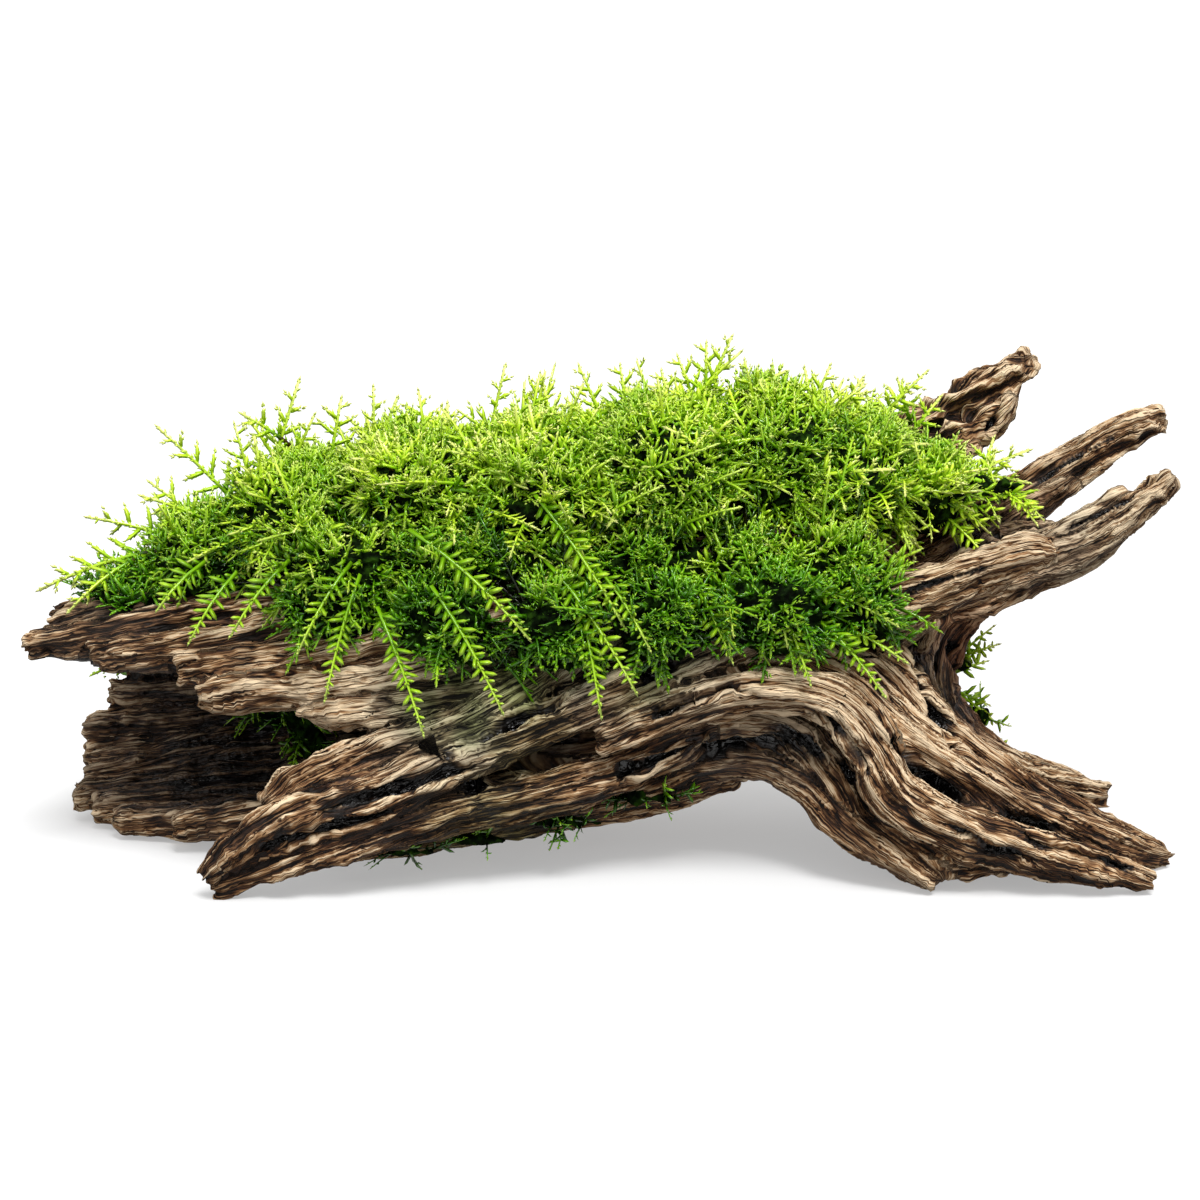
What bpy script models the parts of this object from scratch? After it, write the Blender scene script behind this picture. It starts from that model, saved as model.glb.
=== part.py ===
"""Moss grown over a hollow piece of driftwood, about 280 mm long.

The wood is a broken hollow log that runs on into a crown. A long root lies along the front, an arched leg
with toes and a back root stand on the right, and three branches and a stub rise above them. Moss covers the
crown, with smaller growths in the hollow, under the belly, behind the log and behind the back root.

The wood is laid up from strands, as its own grain is: each strand is a tube along a hand-chosen route, and
the strands are fused into one body, thinned to flat facets and parted at the main forks.
"""

import math

import bmesh
import bpy
import numpy as np
from mathutils import Matrix, Vector, noise

# Driving dimensions, in millimetres. Everything is scaled to metres as it is built.
MM = 0.001
MIDDLE = (2.2, -2.1, 0)  # middle of the outline on the ground, which becomes the origin
GAP = 0.3  # clear space between touching pieces
MOSS_GAP = 2.6  # how far the coarse copy of the wood that shapes the moss from below stands off it
WOOD_VOXEL = 1.7  # cell that fuses the strands
MOSS_VOXEL = 2.6  # cell that fuses the moss lumps
WOOD_TRIANGLES = 4300
UNDER_MOSS_TRIANGLES = 1000
CUSHION_TRIANGLES = 1100
TUFT_TRIANGLES = 190
STRAND_SIDES = 12
ROUTE_STEPS = 5  # rings between two stations of a route
DOME_TURNS = (0.7, 1.25)  # radians up the dome that closes a strand, where its two rings lie
SHARP = math.radians(50)  # edges that turn more than this stay crisp

# The hollow log: (x, y, z, half depth, half height) of its oval section along its length.
LOG_SECTIONS = (
    (-140, -2, 29, 31, 25),
    (-100, -2, 33, 33, 28),
    (-60, -1, 39, 34, 29),
    (-20, 2, 46, 33, 30),
    (20, 5, 53, 31, 29),
    (55, 8, 58, 27, 26),
)
WALL_RADIUS = 5.6  # radius of a strand of the log's wall
WALL_PITCH = 15  # degrees between two strands of the wall
WALL_STATIONS = 8  # stations along a strand of the wall
WALL_LIPS = (-60, 190)  # degrees: past these a strand is a lip, which ends at LIP_END
LIP_END = 0
WALL_END = 56
WALL_SWAY = 4  # degrees that a strand of the wall wanders to either side
TIP_SHARE = 0.72  # radius of a wall strand at its ragged tip, as a share of the rest
# The ragged end of the log: (degrees from the top towards the back, x where the wall starts there).
LOG_END = (
    (-84, -70),
    (-70, -94),
    (-55, -98),
    (-42, -118),
    (-24, -137),
    (-8, -133),
    (8, -134),
    (30, -128),
    (60, -125),
    (80, -121),
    (98, -127),
    (115, -134),
    (135, -130),
    (155, -133),
    (175, -125),
    (192, -119),
    (206, -96),
)

# Routes of the strands: stations (x, y, z, radius).
FRONT_ROOT = (
    ((-78, -44, 21, 3.4), (-68, -43, 27, 5), (-51, -40, 33, 5.5), (-35, -37, 38, 5.5), (-19, -33, 45, 6),
     (-5, -28, 53, 7), (14, -20, 62, 9)),
    ((-92, -50, 5, 2.6), (-84, -50, 12, 5), (-70, -49, 19, 6.2), (-53, -47, 24, 6.6), (-37, -44, 31, 6.6),
     (-19, -40, 37, 6), (0, -36, 44, 6), (19, -32, 51, 6.5), (36, -26, 55, 8)),
    ((-90, -49, 2.4, 3), (-72, -48, 9, 4.5), (-54, -46, 14, 5.5), (-35, -42, 19, 6), (-14, -37, 22, 6.5),
     (5, -33, 27, 6), (24, -30, 34, 6)),
    ((-64, -38, 9, 5), (-43, -32, 12, 6.5), (-19, -26, 14, 7), (0, -22, 16, 7), (19, -20, 20, 6), (34, -18, 23, 5)),
)
ARCH_LEG = (
    ((0, -38, 36, 5), (19, -38, 43, 5.5), (37, -38, 47, 6), (54, -40, 45, 6.5), (63, -42, 35, 7),
     (70, -44, 23, 7.5), (84, -45, 15, 7.5), (105, -46, 9, 6), (119, -46, 6, 4.5), (129, -46, 2.4, 3)),
    ((10, -24, 20, 6), (24, -25, 25, 6), (38, -27, 27, 5.5), (50, -31, 23, 6), (59, -36, 15, 6.5),
     (69, -41, 9, 6), (79, -45, 3.6, 4.8)),
    ((10, -24, 56, 9), (28, -26, 53, 8), (47, -28, 50, 7), (59, -31, 45, 7), (71, -35, 35, 7), (85, -37, 26, 7),
     (99, -36, 17, 6.5), (117, -33, 9, 5), (128, -29, 5, 4), (137, -26, 2, 2.8)),
    ((55, -18, 54, 8), (70, -20, 45, 7.5), (81, -24, 33, 7), (96, -26, 22, 6.5), (111, -25, 14, 5),
     (124, -21, 7, 3.5), (135, -18, 2, 2.6)),
    ((14, -27, 31, 6), (33, -28, 36, 6), (47, -30, 33, 6), (57, -34, 23, 6), (64, -38, 13, 5.5), (78, -41, 8, 6),
     (94, -42, 9, 6)),
    ((54, 0, 47, 10), (68, -8, 39, 9), (80, -16, 26, 8), (94, -22, 15, 7), (108, -26, 9, 5.5)),
)
BACK_ROOT = (
    ((99, 8, 63, 5), (91, 8, 58, 6), (85, 8, 48, 6.5), (85, 10, 34, 6.5), (92, 13, 22, 6), (105, 18, 11, 5.5),
     (119, 22, 6, 4.5), (131, 24, 2.6, 3.8)),
    ((79, 0, 57, 8), (75, -2, 48, 7), (78, 0, 36, 6.5), (86, 4, 23, 6), (97, 10, 12, 5.5)),
    ((89, 24, 65, 8), (81, 24, 49, 9), (82, 24, 31, 8), (92, 24, 17, 7), (107, 25, 8, 5.5), (121, 27, 4, 4)),
    ((51, 20, 55, 16), (70, 16, 51, 12), (79, 14, 41, 9)),
)
BRANCH_FRONT = (
    ((43, -16, 54, 9), (62, -18, 61, 8), (79, -20, 67, 6.5), (93, -21, 73, 5.5), (102, -21, 76, 5), (108, -21, 77, 4)),
    ((60, -14, 53, 7), (74, -16, 61, 6), (86, -18, 66, 5), (98, -19, 71, 4)),
)
BRANCH_MIDDLE = (
    ((74, 2, 59, 9), (89, 4, 62, 8), (104, 5, 67, 7.5), (118, 6, 72, 6.5), (128, 6, 79, 5.5), (135, 6, 85, 4.5),
     (140, 6, 89, 3.5)),
    ((94, 6, 66, 5), (109, 6, 72, 5), (121, 7, 78, 4.5), (130, 7, 84, 3.5)),
    ((99, 10, 72, 5.5), (111, 13, 74, 4)),
)
BRANCH_REAR = (
    ((66, 20, 58, 11), (81, 22, 65, 9), (94, 24, 73, 7.5), (106, 25, 80, 7), (118, 25, 88, 6.5), (128, 25, 95, 5.5),
     (136, 25, 99, 4.8), (141, 25, 101, 3.8)),
    ((91, 20, 69, 5), (103, 21, 77, 5), (113, 21, 83, 4), (118, 21, 86, 3)),
)
STUB = (
    ((64, 34, 73, 12), (77, 37, 88, 9.5), (87, 38, 97, 8), (97, 38, 105, 7), (104, 38, 110, 5.5), (109, 38, 114, 4)),
    ((85, 43, 95, 5), (93, 44, 103, 3.5), (97, 44, 109, 2.2)),
    ((89, 33, 92, 6.5), (98, 32, 98, 4.5), (103, 32, 103, 3)),
)
HEART = (
    ((-38, 3, 44, 22), (-20, 5, 46, 27), (10, 6, 53, 28), (40, 10, 58, 25), (62, 14, 61, 19)),
    ((-45, -8, 24, 13), (-15, -10, 27, 15), (10, -10, 34, 13), (30, -10, 41, 12)),
)

# Where each limb parts from the trunk: (name, fork point, way the limb leaves, length, half width, half height).
FORKS = (
    ("stub", (76, 37, 86), (0.70, 0.0, 0.71), 60, 20, 20),
    ("branch_rear", (84, 30, 68), (0.84, 0.06, 0.54), 80, 18.5, 16),
    ("branch_middle", (84, 1.5, 62), (0.88, 0.0, 0.47), 80, 9.5, 15),
    ("branch_front", (62, -23, 62), (0.93, -0.02, 0.36), 70, 14.5, 11),
    ("back_root", (96, 30, 44), (0.26, 0.0, -0.97), 90, 33, 38),
    ("arch_leg", (50, -36, 36), (0.86, 0.0, -0.51), 120, 33, 32),
    ("front_root", (-33, -56, 24), (-0.925, 0.0, -0.38), 100, 26, 24),
)

# Lumps of moss: (x, y, z, half length, half depth, half height).
CUSHION_LUMPS = (
    (-112, -2, 62, 20, 18, 8),
    (-92, 0, 70, 26, 26, 16),
    (-72, 2, 79, 26, 30, 22),
    (-45, 2, 84, 28, 34, 25),
    (-15, 2, 85, 30, 36, 26),
    (15, 4, 88, 30, 37, 27),
    (42, 6, 91, 26, 36, 27),
    (62, 8, 88, 22, 32, 24),
    (80, 12, 84, 16, 22, 15),
    (97, 10, 86, 14, 8, 7),
    (-62, -26, 62, 22, 12, 14),
    (-36, -32, 60, 18, 12, 16),
    (-10, -34, 60, 18, 12, 16),
    (14, -35, 62, 18, 11, 15),
    (40, -34, 64, 20, 12, 15),
    (60, -28, 64, 16, 12, 14),
    (-60, 30, 60, 34, 13, 18),
    (-10, 34, 64, 36, 13, 20),
    (34, 36, 70, 28, 12, 18),
)
HOLLOW_LUMPS = ((-86, -2, 43, 9, 8, 8), (-76, 0, 36, 9, 9, 13), (-72, -2, 26, 7, 7, 10), (-82, 4, 31, 8, 8, 7))
BELLY_LUMPS = ((-46, -40, 6, 12, 4, 4), (-28, -36, 8, 14, 4, 4), (-8, -32, 10, 14, 4, 4), (10, -29, 15, 12, 4, 4))
DRAPE_LUMPS = ((-122, 36, 40, 11, 8, 9), (-112, 39, 30, 15, 8, 10), (-94, 40, 24, 16, 8, 9))
COLUMN_LUMPS = ((93, 31, 52, 8, 6, 6), (94, 31, 36, 8, 6, 7), (98, 31, 22, 8, 6, 6))


def wipe_scene():
    for thing in list(bpy.data.objects):
        bpy.data.objects.remove(thing, do_unlink=True)


def material(name, colour, roughness):
    made = bpy.data.materials.new(name)
    made.use_nodes = True
    shader = made.node_tree.nodes["Principled BSDF"]
    shader.inputs["Base Color"].default_value = (*colour, 1.0)
    shader.inputs["Roughness"].default_value = roughness
    shader.inputs["Metallic"].default_value = 0.0
    return made


def between(stations, steps):
    """A smooth curve through the stations, each a tuple of numbers, with so many steps to a gap."""
    points = np.array(stations, float)
    ends = np.vstack((2 * points[0] - points[1], points, 2 * points[-1] - points[-2]))
    route = []
    for i in range(len(points) - 1):
        a, b, c, d = ends[i : i + 4]
        for t in np.arange(steps) / steps:
            route.append(
                0.5 * (2 * b + (c - a) * t + (2 * a - 5 * b + 4 * c - d) * t**2 + (3 * b - a - 3 * c + d) * t**3)
            )
    route.append(points[-1])
    return np.array(route)


def with_round_ends(route):
    """The route with two more rings past each end, which close the strand in a blunt dome."""
    head = route[0, :3] - route[1, :3]
    tail = route[-1, :3] - route[-2, :3]
    rings = [route]
    for end, way in ((0, head), (-1, tail)):
        way = way / np.linalg.norm(way)
        radius = route[end, 3]
        domes = [
            np.append(route[end, :3] + way * radius * math.sin(turn), radius * math.cos(turn))
            for turn in DOME_TURNS
        ]
        rings = [np.array(domes[::-1]), *rings] if end == 0 else [*rings, np.array(domes)]
    return np.vstack(rings)


def add_strand(bm, stations, steps=ROUTE_STEPS):
    """A closed tube along the stations, made ring by ring."""
    route = with_round_ends(between(stations, steps))
    side = Vector((0.0, 0.0, 1.0))
    last = None
    for i, station in enumerate(route):
        ahead = Vector(route[min(i + 1, len(route) - 1), :3] - route[max(i - 1, 0), :3]).normalized()
        side = (side - ahead * side.dot(ahead)).normalized()
        frame = Matrix((side, ahead.cross(side), ahead)).transposed().to_4x4()
        frame.translation = Vector(station[:3])
        ring = bmesh.ops.create_circle(bm, segments=STRAND_SIDES, radius=max(station[3], 0.4), matrix=frame)["verts"]
        edges = list({edge for vertex in ring for edge in vertex.link_edges})
        if last is None:
            bmesh.ops.contextual_create(bm, geom=edges)
        else:
            bmesh.ops.bridge_loops(bm, edges=last + edges)
        last = edges
    bmesh.ops.contextual_create(bm, geom=last)


def log_section(x):
    """The log's oval section at x, read from its table."""
    columns = np.array(LOG_SECTIONS, float).T
    return [np.interp(x, columns[0], column) for column in columns[1:]]


def add_log_wall(bm):
    """The strands of the log's wall, from the lip of the roof over the back to the lip of the floor."""
    degrees, starts = np.array(LOG_END, float).T
    for count, turn in enumerate(np.arange(degrees[0], degrees[-1] + 1, WALL_PITCH)):
        start = np.interp(turn, degrees, starts)
        end = WALL_END if WALL_LIPS[0] < turn < WALL_LIPS[1] else LIP_END
        stations = []
        for x in np.linspace(start, end, WALL_STATIONS):
            y, z, deep, high = log_section(x)
            angle = math.radians(turn + WALL_SWAY * math.sin(0.05 * x + count))
            radius = WALL_RADIUS * (1 if x > start else TIP_SHARE)
            stations.append((x, y + deep * math.sin(angle), z + high * math.cos(angle), radius))
        add_strand(bm, stations)


def mesh_object(name, mesh):
    made = bpy.data.objects.new(name, mesh)
    bpy.context.scene.collection.objects.link(made)
    return made


def object_from(bm, name):
    bmesh.ops.recalc_face_normals(bm, faces=bm.faces)
    mesh = bpy.data.meshes.new(name)
    bm.to_mesh(mesh)
    bm.free()
    return mesh_object(name, mesh)


def apply_modifiers(thing):
    """Replaces the object's mesh by what its modifiers make of it."""
    graph = bpy.context.evaluated_depsgraph_get()
    shaped = bpy.data.meshes.new_from_object(thing.evaluated_get(graph))
    thing.modifiers.clear()
    thing.data = shaped
    return thing


def largest_body(thing):
    """Keeps the largest body of the mesh. Crumbs and sealed cavities go, also where they touch it at a corner."""
    bm = bmesh.new()
    bm.from_mesh(thing.data)
    bodies = []
    seen = set()
    for first in bm.faces:
        if first in seen:
            continue
        body = [first]
        seen.add(first)
        for face in body:
            for edge in face.edges:
                if len(edge.link_faces) != 2:
                    continue
                for other in edge.link_faces:
                    if other not in seen:
                        seen.add(other)
                        body.append(other)
        bodies.append(body)
    keep = max(bodies, key=len)
    crumbs = [face for body in bodies if body is not keep for face in body]
    bmesh.ops.delete(bm, geom=crumbs, context="FACES")
    bm.to_mesh(thing.data)
    bm.free()
    return thing


def fuse(thing, voxel):
    remesh = thing.modifiers.new("fuse", "REMESH")
    remesh.mode = "VOXEL"
    remesh.voxel_size = voxel
    return largest_body(apply_modifiers(thing))


def roughen(thing, size, height, seed):
    """Pushes the surface in and out by smooth noise, to give lumps and pits."""
    shift = Vector((seed, 2 * seed, 3 * seed))
    mesh = thing.data
    moves = [vertex.normal * height * noise.noise(vertex.co / size + shift) for vertex in mesh.vertices]
    for vertex, move in zip(mesh.vertices, moves):
        vertex.co += move
    mesh.update()


def thin(thing, triangles):
    """Thins the mesh to flat facets, near the given number of triangles."""
    now = sum(len(face.vertices) - 2 for face in thing.data.polygons)
    decimate = thing.modifiers.new("facets", "DECIMATE")
    decimate.ratio = min(1.0, triangles / now)
    return apply_modifiers(thing)


def flat_feet(thing):
    """Cuts off what is under the ground plane, and closes the cuts with flat soles."""
    bm = bmesh.new()
    bm.from_mesh(thing.data)
    everything = bm.verts[:] + bm.edges[:] + bm.faces[:]
    cut = bmesh.ops.bisect_plane(bm, geom=everything, plane_co=(0, 0, 0), plane_no=(0, 0, -1), clear_outer=True)
    rims = [item for item in cut["geom_cut"] if isinstance(item, bmesh.types.BMEdge)]
    bmesh.ops.holes_fill(bm, edges=rims)
    bmesh.ops.triangulate(bm, faces=bm.faces)
    bm.to_mesh(thing.data)
    bm.free()
    return thing


def boolean(thing, cutter, operation):
    cut = thing.modifiers.new(operation.lower(), "BOOLEAN")
    cut.operation = operation
    cut.object = cutter
    cut.use_self = True
    return apply_modifiers(thing)


def fork_block(fork, grow):
    """The block that takes one limb off the trunk, grown by so much on its sides and at the fork."""
    name, point, way, length, wide, high = fork
    ahead = Vector(way).normalized()
    side = Vector((0, 1, 0))
    side = (side - ahead * side.dot(ahead)).normalized()
    frame = Matrix((ahead, side, ahead.cross(side))).transposed().to_4x4()
    frame.translation = Vector(point) + ahead * (length / 2)
    size = Matrix.Diagonal((length + 2 * grow, 2 * (wide + grow), 2 * (high + grow), 1))
    bm = bmesh.new()
    bmesh.ops.create_cube(bm, size=1, matrix=frame @ size)
    return object_from(bm, name + "_block")


def discard(thing):
    bpy.data.objects.remove(thing, do_unlink=True)


def make_wood():
    """All the driftwood as one body of facets, in millimetres."""
    bm = bmesh.new()
    for limb in (FRONT_ROOT, ARCH_LEG, BACK_ROOT, BRANCH_FRONT, BRANCH_MIDDLE, BRANCH_REAR, STUB, HEART):
        for stations in limb:
            add_strand(bm, stations)
    add_log_wall(bm)
    wood = fuse(object_from(bm, "wood"), WOOD_VOXEL)
    roughen(wood, size=7, height=1.4, seed=3)
    thin(wood, WOOD_TRIANGLES)
    return flat_feet(wood)


def part_at_forks(wood):
    """The limbs, cut off the wood one after another, and the trunk that is left."""
    limbs = {}
    trunk = wood
    for fork in FORKS:
        inner = fork_block(fork, 0)
        outer = fork_block(fork, GAP)
        limb = mesh_object(fork[0], trunk.data.copy())
        limbs[fork[0]] = largest_body(boolean(limb, inner, "INTERSECT"))
        largest_body(boolean(trunk, outer, "DIFFERENCE"))
        discard(inner)
        discard(outer)
    trunk.name = "trunk"
    limbs["trunk"] = trunk
    return limbs


def make_moss(name, lumps, triangles, shells, seed):
    """One growth of moss: lumps fused, roughened and thinned, then cut back to clear the wood's shells."""
    bm = bmesh.new()
    for x, y, z, long, deep, high in lumps:
        place = Matrix.Translation((x, y, z)) @ Matrix.Diagonal((long, deep, high, 1))
        bmesh.ops.create_icosphere(bm, subdivisions=3, radius=1, matrix=place)
    moss = fuse(object_from(bm, name), MOSS_VOXEL)
    roughen(moss, size=11, height=7, seed=seed)
    thin(moss, triangles)
    for shell in shells:
        largest_body(boolean(moss, shell, "DIFFERENCE"))
    return moss


def grown_copy(wood, name, gap):
    """A copy of the wood that is a little larger all round."""
    copy = mesh_object(name, wood.data.copy())
    moves = [vertex.normal * gap for vertex in copy.data.vertices]
    for vertex, move in zip(copy.data.vertices, moves):
        vertex.co += move
    copy.data.update()
    return copy


def finish(thing, surface):
    """Sets the piece about the origin in metres, shades it smooth and gives it its material."""
    thing.data.transform(Matrix.Scale(MM, 4) @ Matrix.Translation(-Vector(MIDDLE)))
    thing.data.materials.clear()
    thing.data.materials.append(surface)
    thing.data.shade_smooth()
    thing.data.set_sharp_from_angle(angle=SHARP)


def main():
    wipe_scene()
    wood = make_wood()
    # The moss is cut back to a coarse shell first, for few facets, and then to a close one where that falls short.
    shells = (
        thin(grown_copy(wood, "coarse_shell", MOSS_GAP), UNDER_MOSS_TRIANGLES),
        grown_copy(wood, "close_shell", 2 * GAP),
    )
    growths = (
        ("moss_cushion", CUSHION_LUMPS, CUSHION_TRIANGLES),
        ("moss_hollow_tuft", HOLLOW_LUMPS, TUFT_TRIANGLES),
        ("moss_belly_fringe", BELLY_LUMPS, TUFT_TRIANGLES),
        ("moss_back_drape", DRAPE_LUMPS, TUFT_TRIANGLES),
        ("moss_column_tuft", COLUMN_LUMPS, TUFT_TRIANGLES),
    )
    moss = [
        make_moss(name, lumps, triangles, shells, seed)
        for seed, (name, lumps, triangles) in enumerate(growths, start=11)
    ]
    for shell in shells:
        discard(shell)
    for name, limb in part_at_forks(wood).items():
        finish(limb, material(name + "_wood", (0.21, 0.125, 0.07), 0.7))
    for growth in moss:
        finish(growth, material(growth.name + "_green", (0.09, 0.25, 0.02), 0.55))


main()
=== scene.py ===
# %% [markdown]
# Moss on driftwood, as a lesson in cells.
# The real object is a weathered piece of root wood, 280 mm long, with feathery aquarium moss grown over it.
# Wood like this is nothing but grain: long fibres that swell, split and fray. So the wood here is laid up from
# fibres and fused, which gives its ridges, grooves and ragged ends for free. The moss is built as it grows,
# from a leaf to a branchlet to a shoot, and some thousand shoots are planted on a dark cushion.

import math

import bmesh
import bpy
import numpy as np
from mathutils import Matrix, Vector, kdtree, noise
from mathutils.bvhtree import BVHTree


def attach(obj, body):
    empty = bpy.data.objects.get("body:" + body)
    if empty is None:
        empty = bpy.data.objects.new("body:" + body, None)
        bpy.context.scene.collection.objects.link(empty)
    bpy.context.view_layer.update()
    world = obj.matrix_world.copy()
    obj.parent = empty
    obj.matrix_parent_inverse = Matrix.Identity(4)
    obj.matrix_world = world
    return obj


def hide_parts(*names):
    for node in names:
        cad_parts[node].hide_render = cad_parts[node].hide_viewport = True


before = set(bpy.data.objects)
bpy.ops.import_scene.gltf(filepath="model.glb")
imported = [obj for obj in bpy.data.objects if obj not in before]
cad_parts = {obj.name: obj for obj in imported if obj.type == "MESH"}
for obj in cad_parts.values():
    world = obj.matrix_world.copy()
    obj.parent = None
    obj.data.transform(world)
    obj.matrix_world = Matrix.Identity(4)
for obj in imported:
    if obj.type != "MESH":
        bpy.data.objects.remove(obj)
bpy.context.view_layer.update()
print("packed nodes:", ", ".join(sorted(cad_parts)))

# %% [markdown]
# Every size below is in millimetres, in the frame that the wood was sketched in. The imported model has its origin
# in the middle of the outline, so one function moves a point there and turns it to metres.

# %% Units and the middle of the outline
MM = 0.001
MIDDLE = np.array([2.2, -2.1, 0.0])


def metres(points):
    """Points in sketch millimetres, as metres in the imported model's frame."""
    return (np.asarray(points, float) - MIDDLE) * MM


# %% [markdown]
# Colours are written as the sRGB hex values that a colour picker shows, because those are easy to compare with
# a real thing. Shaders want linear light, so one function converts them.

# %% Colours from hex
def linear(code):
    """A hex colour such as '#A9805A' as linear red, green, blue and alpha."""
    channels = [int(code[i : i + 2], 16) / 255 for i in (1, 3, 5)]
    return tuple(c / 12.92 if c <= 0.04045 else ((c + 0.055) / 1.055) ** 2.4 for c in channels) + (1.0,)


# %% [markdown]
# The camera comes first, so that each step can be checked against the view that matters. It looks along the
# wood's long side from a little above, with a long lens as for a product picture. The lens is worked out from
# how wide the view has to be at the distance of the target.

# %% Camera
CAMERA_DISTANCE = 700
CAMERA_RISE = math.radians(13)
VIEW_WIDTH = 294.7
CAMERA_TARGET = np.array([0.0, 0.0, 59.9])
SENSOR = 36

camera_data = bpy.data.cameras.new("camera")
camera_data.sensor_width = SENSOR
camera_data.lens = SENSOR * CAMERA_DISTANCE / VIEW_WIDTH
camera = bpy.data.objects.new("camera", camera_data)
bpy.context.scene.collection.objects.link(camera)
away = np.array([0.0, -math.cos(CAMERA_RISE), math.sin(CAMERA_RISE)])
camera.location = Vector(metres(CAMERA_TARGET + away * CAMERA_DISTANCE))
camera.rotation_euler = (math.pi / 2 - CAMERA_RISE, 0, 0)
bpy.context.scene.camera = camera
print("lens", round(camera_data.lens, 1), "mm")

# %% [markdown]
# A smooth curve is drawn through a few given stations by the Catmull-Rom formula, and then cut into
# steps of equal length. Everything that is long and thin here, fibre or stem, starts as such a route.

# %% Smooth routes
def smooth_route(stations, step):
    """Rows through the stations (x, y, z, radius), about one step apart along the curve."""
    points = np.array(stations, float)
    ends = np.vstack((2 * points[0] - points[1], points, 2 * points[-1] - points[-2]))
    rows = []
    for i in range(len(points) - 1):
        a, b, c, d = ends[i : i + 4]
        for t in np.linspace(0, 1, 8, endpoint=False):
            rows.append(
                0.5 * (2 * b + (c - a) * t + (2 * a - 5 * b + 4 * c - d) * t**2 + (3 * b - a - 3 * c + d) * t**3)
            )
    rows.append(points[-1])
    rows = np.array(rows)
    run = np.concatenate(([0], np.cumsum(np.linalg.norm(np.diff(rows[:, :3], axis=0), axis=1))))
    even = np.linspace(0, run[-1], max(4, int(round(run[-1] / step)) + 1))
    return np.column_stack([np.interp(even, run, column) for column in rows.T]), even


def frames_along(centres):
    """Two directions across the route at each of its points, carried along without twisting."""
    ahead = np.gradient(centres, axis=0)
    ahead /= np.linalg.norm(ahead, axis=1)[:, None]
    side = np.array([0.0, 0.0, 1.0]) if abs(ahead[0, 2]) < 0.9 else np.array([1.0, 0.0, 0.0])
    sides = []
    for way in ahead:
        side = side - way * side.dot(way)
        side = side / np.linalg.norm(side)
        sides.append(side)
    sides = np.array(sides)
    return ahead, sides, np.cross(ahead, sides)


# %% [markdown]
# A tube is a row of rings along the route, joined by a skin of triangles, with its ends rounded off. There will
# be thousands of rings, so they aren't added one at a time: the places of all points of a tube are worked out at
# once as an array, and the triangles of one tube serve for every other of the same length.

# %% Tubes
END_RINGS = ((0.72, 0.7), (0.98, 0.3))  # how far past the end, and how wide, as shares of the radius
tube_skins = {}


def tube_skin(rings, sides):
    """The triangles of a closed tube whose last two points are the middles of its ends."""
    if (rings, sides) not in tube_skins:
        ring, side = np.divmod(np.arange((rings - 1) * sides), sides)
        a = ring * sides + side
        b = ring * sides + (side + 1) % sides
        around = np.arange(sides)
        after = (around + 1) % sides
        start, end = rings * sides, rings * sides + 1
        top = (rings - 1) * sides
        tube_skins[rings, sides] = np.vstack((
            np.column_stack((a, b, b + sides)),
            np.column_stack((a, b + sides, a + sides)),
            np.column_stack((after, around, np.full(sides, start))),
            np.column_stack((top + around, top + after, np.full(sides, end))),
        ))
    return tube_skins[rings, sides]


def tube(route, sides=6, end_rings=END_RINGS):
    """Points and triangles of a closed tube along the rows (x, y, z, radius)."""
    ahead, across, up = frames_along(route[:, :3])
    rows = route
    for out, wide in end_rings:
        first = np.concatenate((route[0, :3] - ahead[0] * route[0, 3] * out, [route[0, 3] * wide]))
        last = np.concatenate((route[-1, :3] + ahead[-1] * route[-1, 3] * out, [route[-1, 3] * wide]))
        rows = np.vstack((first, rows, last))
    extra = len(end_rings)
    across = np.vstack((across[:1].repeat(extra, 0), across, across[-1:].repeat(extra, 0)))
    up = np.vstack((up[:1].repeat(extra, 0), up, up[-1:].repeat(extra, 0)))
    turn = np.arange(sides) * 2 * math.pi / sides
    ring = across[:, None] * np.cos(turn)[None, :, None] + up[:, None] * np.sin(turn)[None, :, None]
    points = rows[:, None, :3] + ring * rows[:, None, 3:4]
    points = np.vstack((points.reshape(-1, 3), rows[0, :3], rows[-1, :3]))
    return points, tube_skin(len(rows), sides)


def joined(shapes):
    """Points and triangles of many shapes as one pair of arrays."""
    starts = np.cumsum([0] + [len(points) for points, _ in shapes])
    return (
        np.vstack([points for points, _ in shapes]),
        np.vstack([triangles + start for (_, triangles), start in zip(shapes, starts)]),
    )


def mesh_of(name, points, triangles):
    """A Blender mesh of the points and triangles."""
    mesh = bpy.data.meshes.new(name)
    mesh.vertices.add(len(points))
    mesh.vertices.foreach_set("co", np.asarray(points, np.float32).ravel())
    mesh.loops.add(len(triangles) * 3)
    mesh.loops.foreach_set("vertex_index", np.asarray(triangles, np.int32).ravel())
    mesh.polygons.add(len(triangles))
    mesh.polygons.foreach_set("loop_start", np.arange(len(triangles), dtype=np.int32) * 3)
    mesh.update(calc_edges=True)
    return mesh


# %% [markdown]
# Where the strands of the wood run. These are the same stations as in the solid model, so the dressed wood lies
# where the solids are. Each row is (x, y, z, radius).

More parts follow.
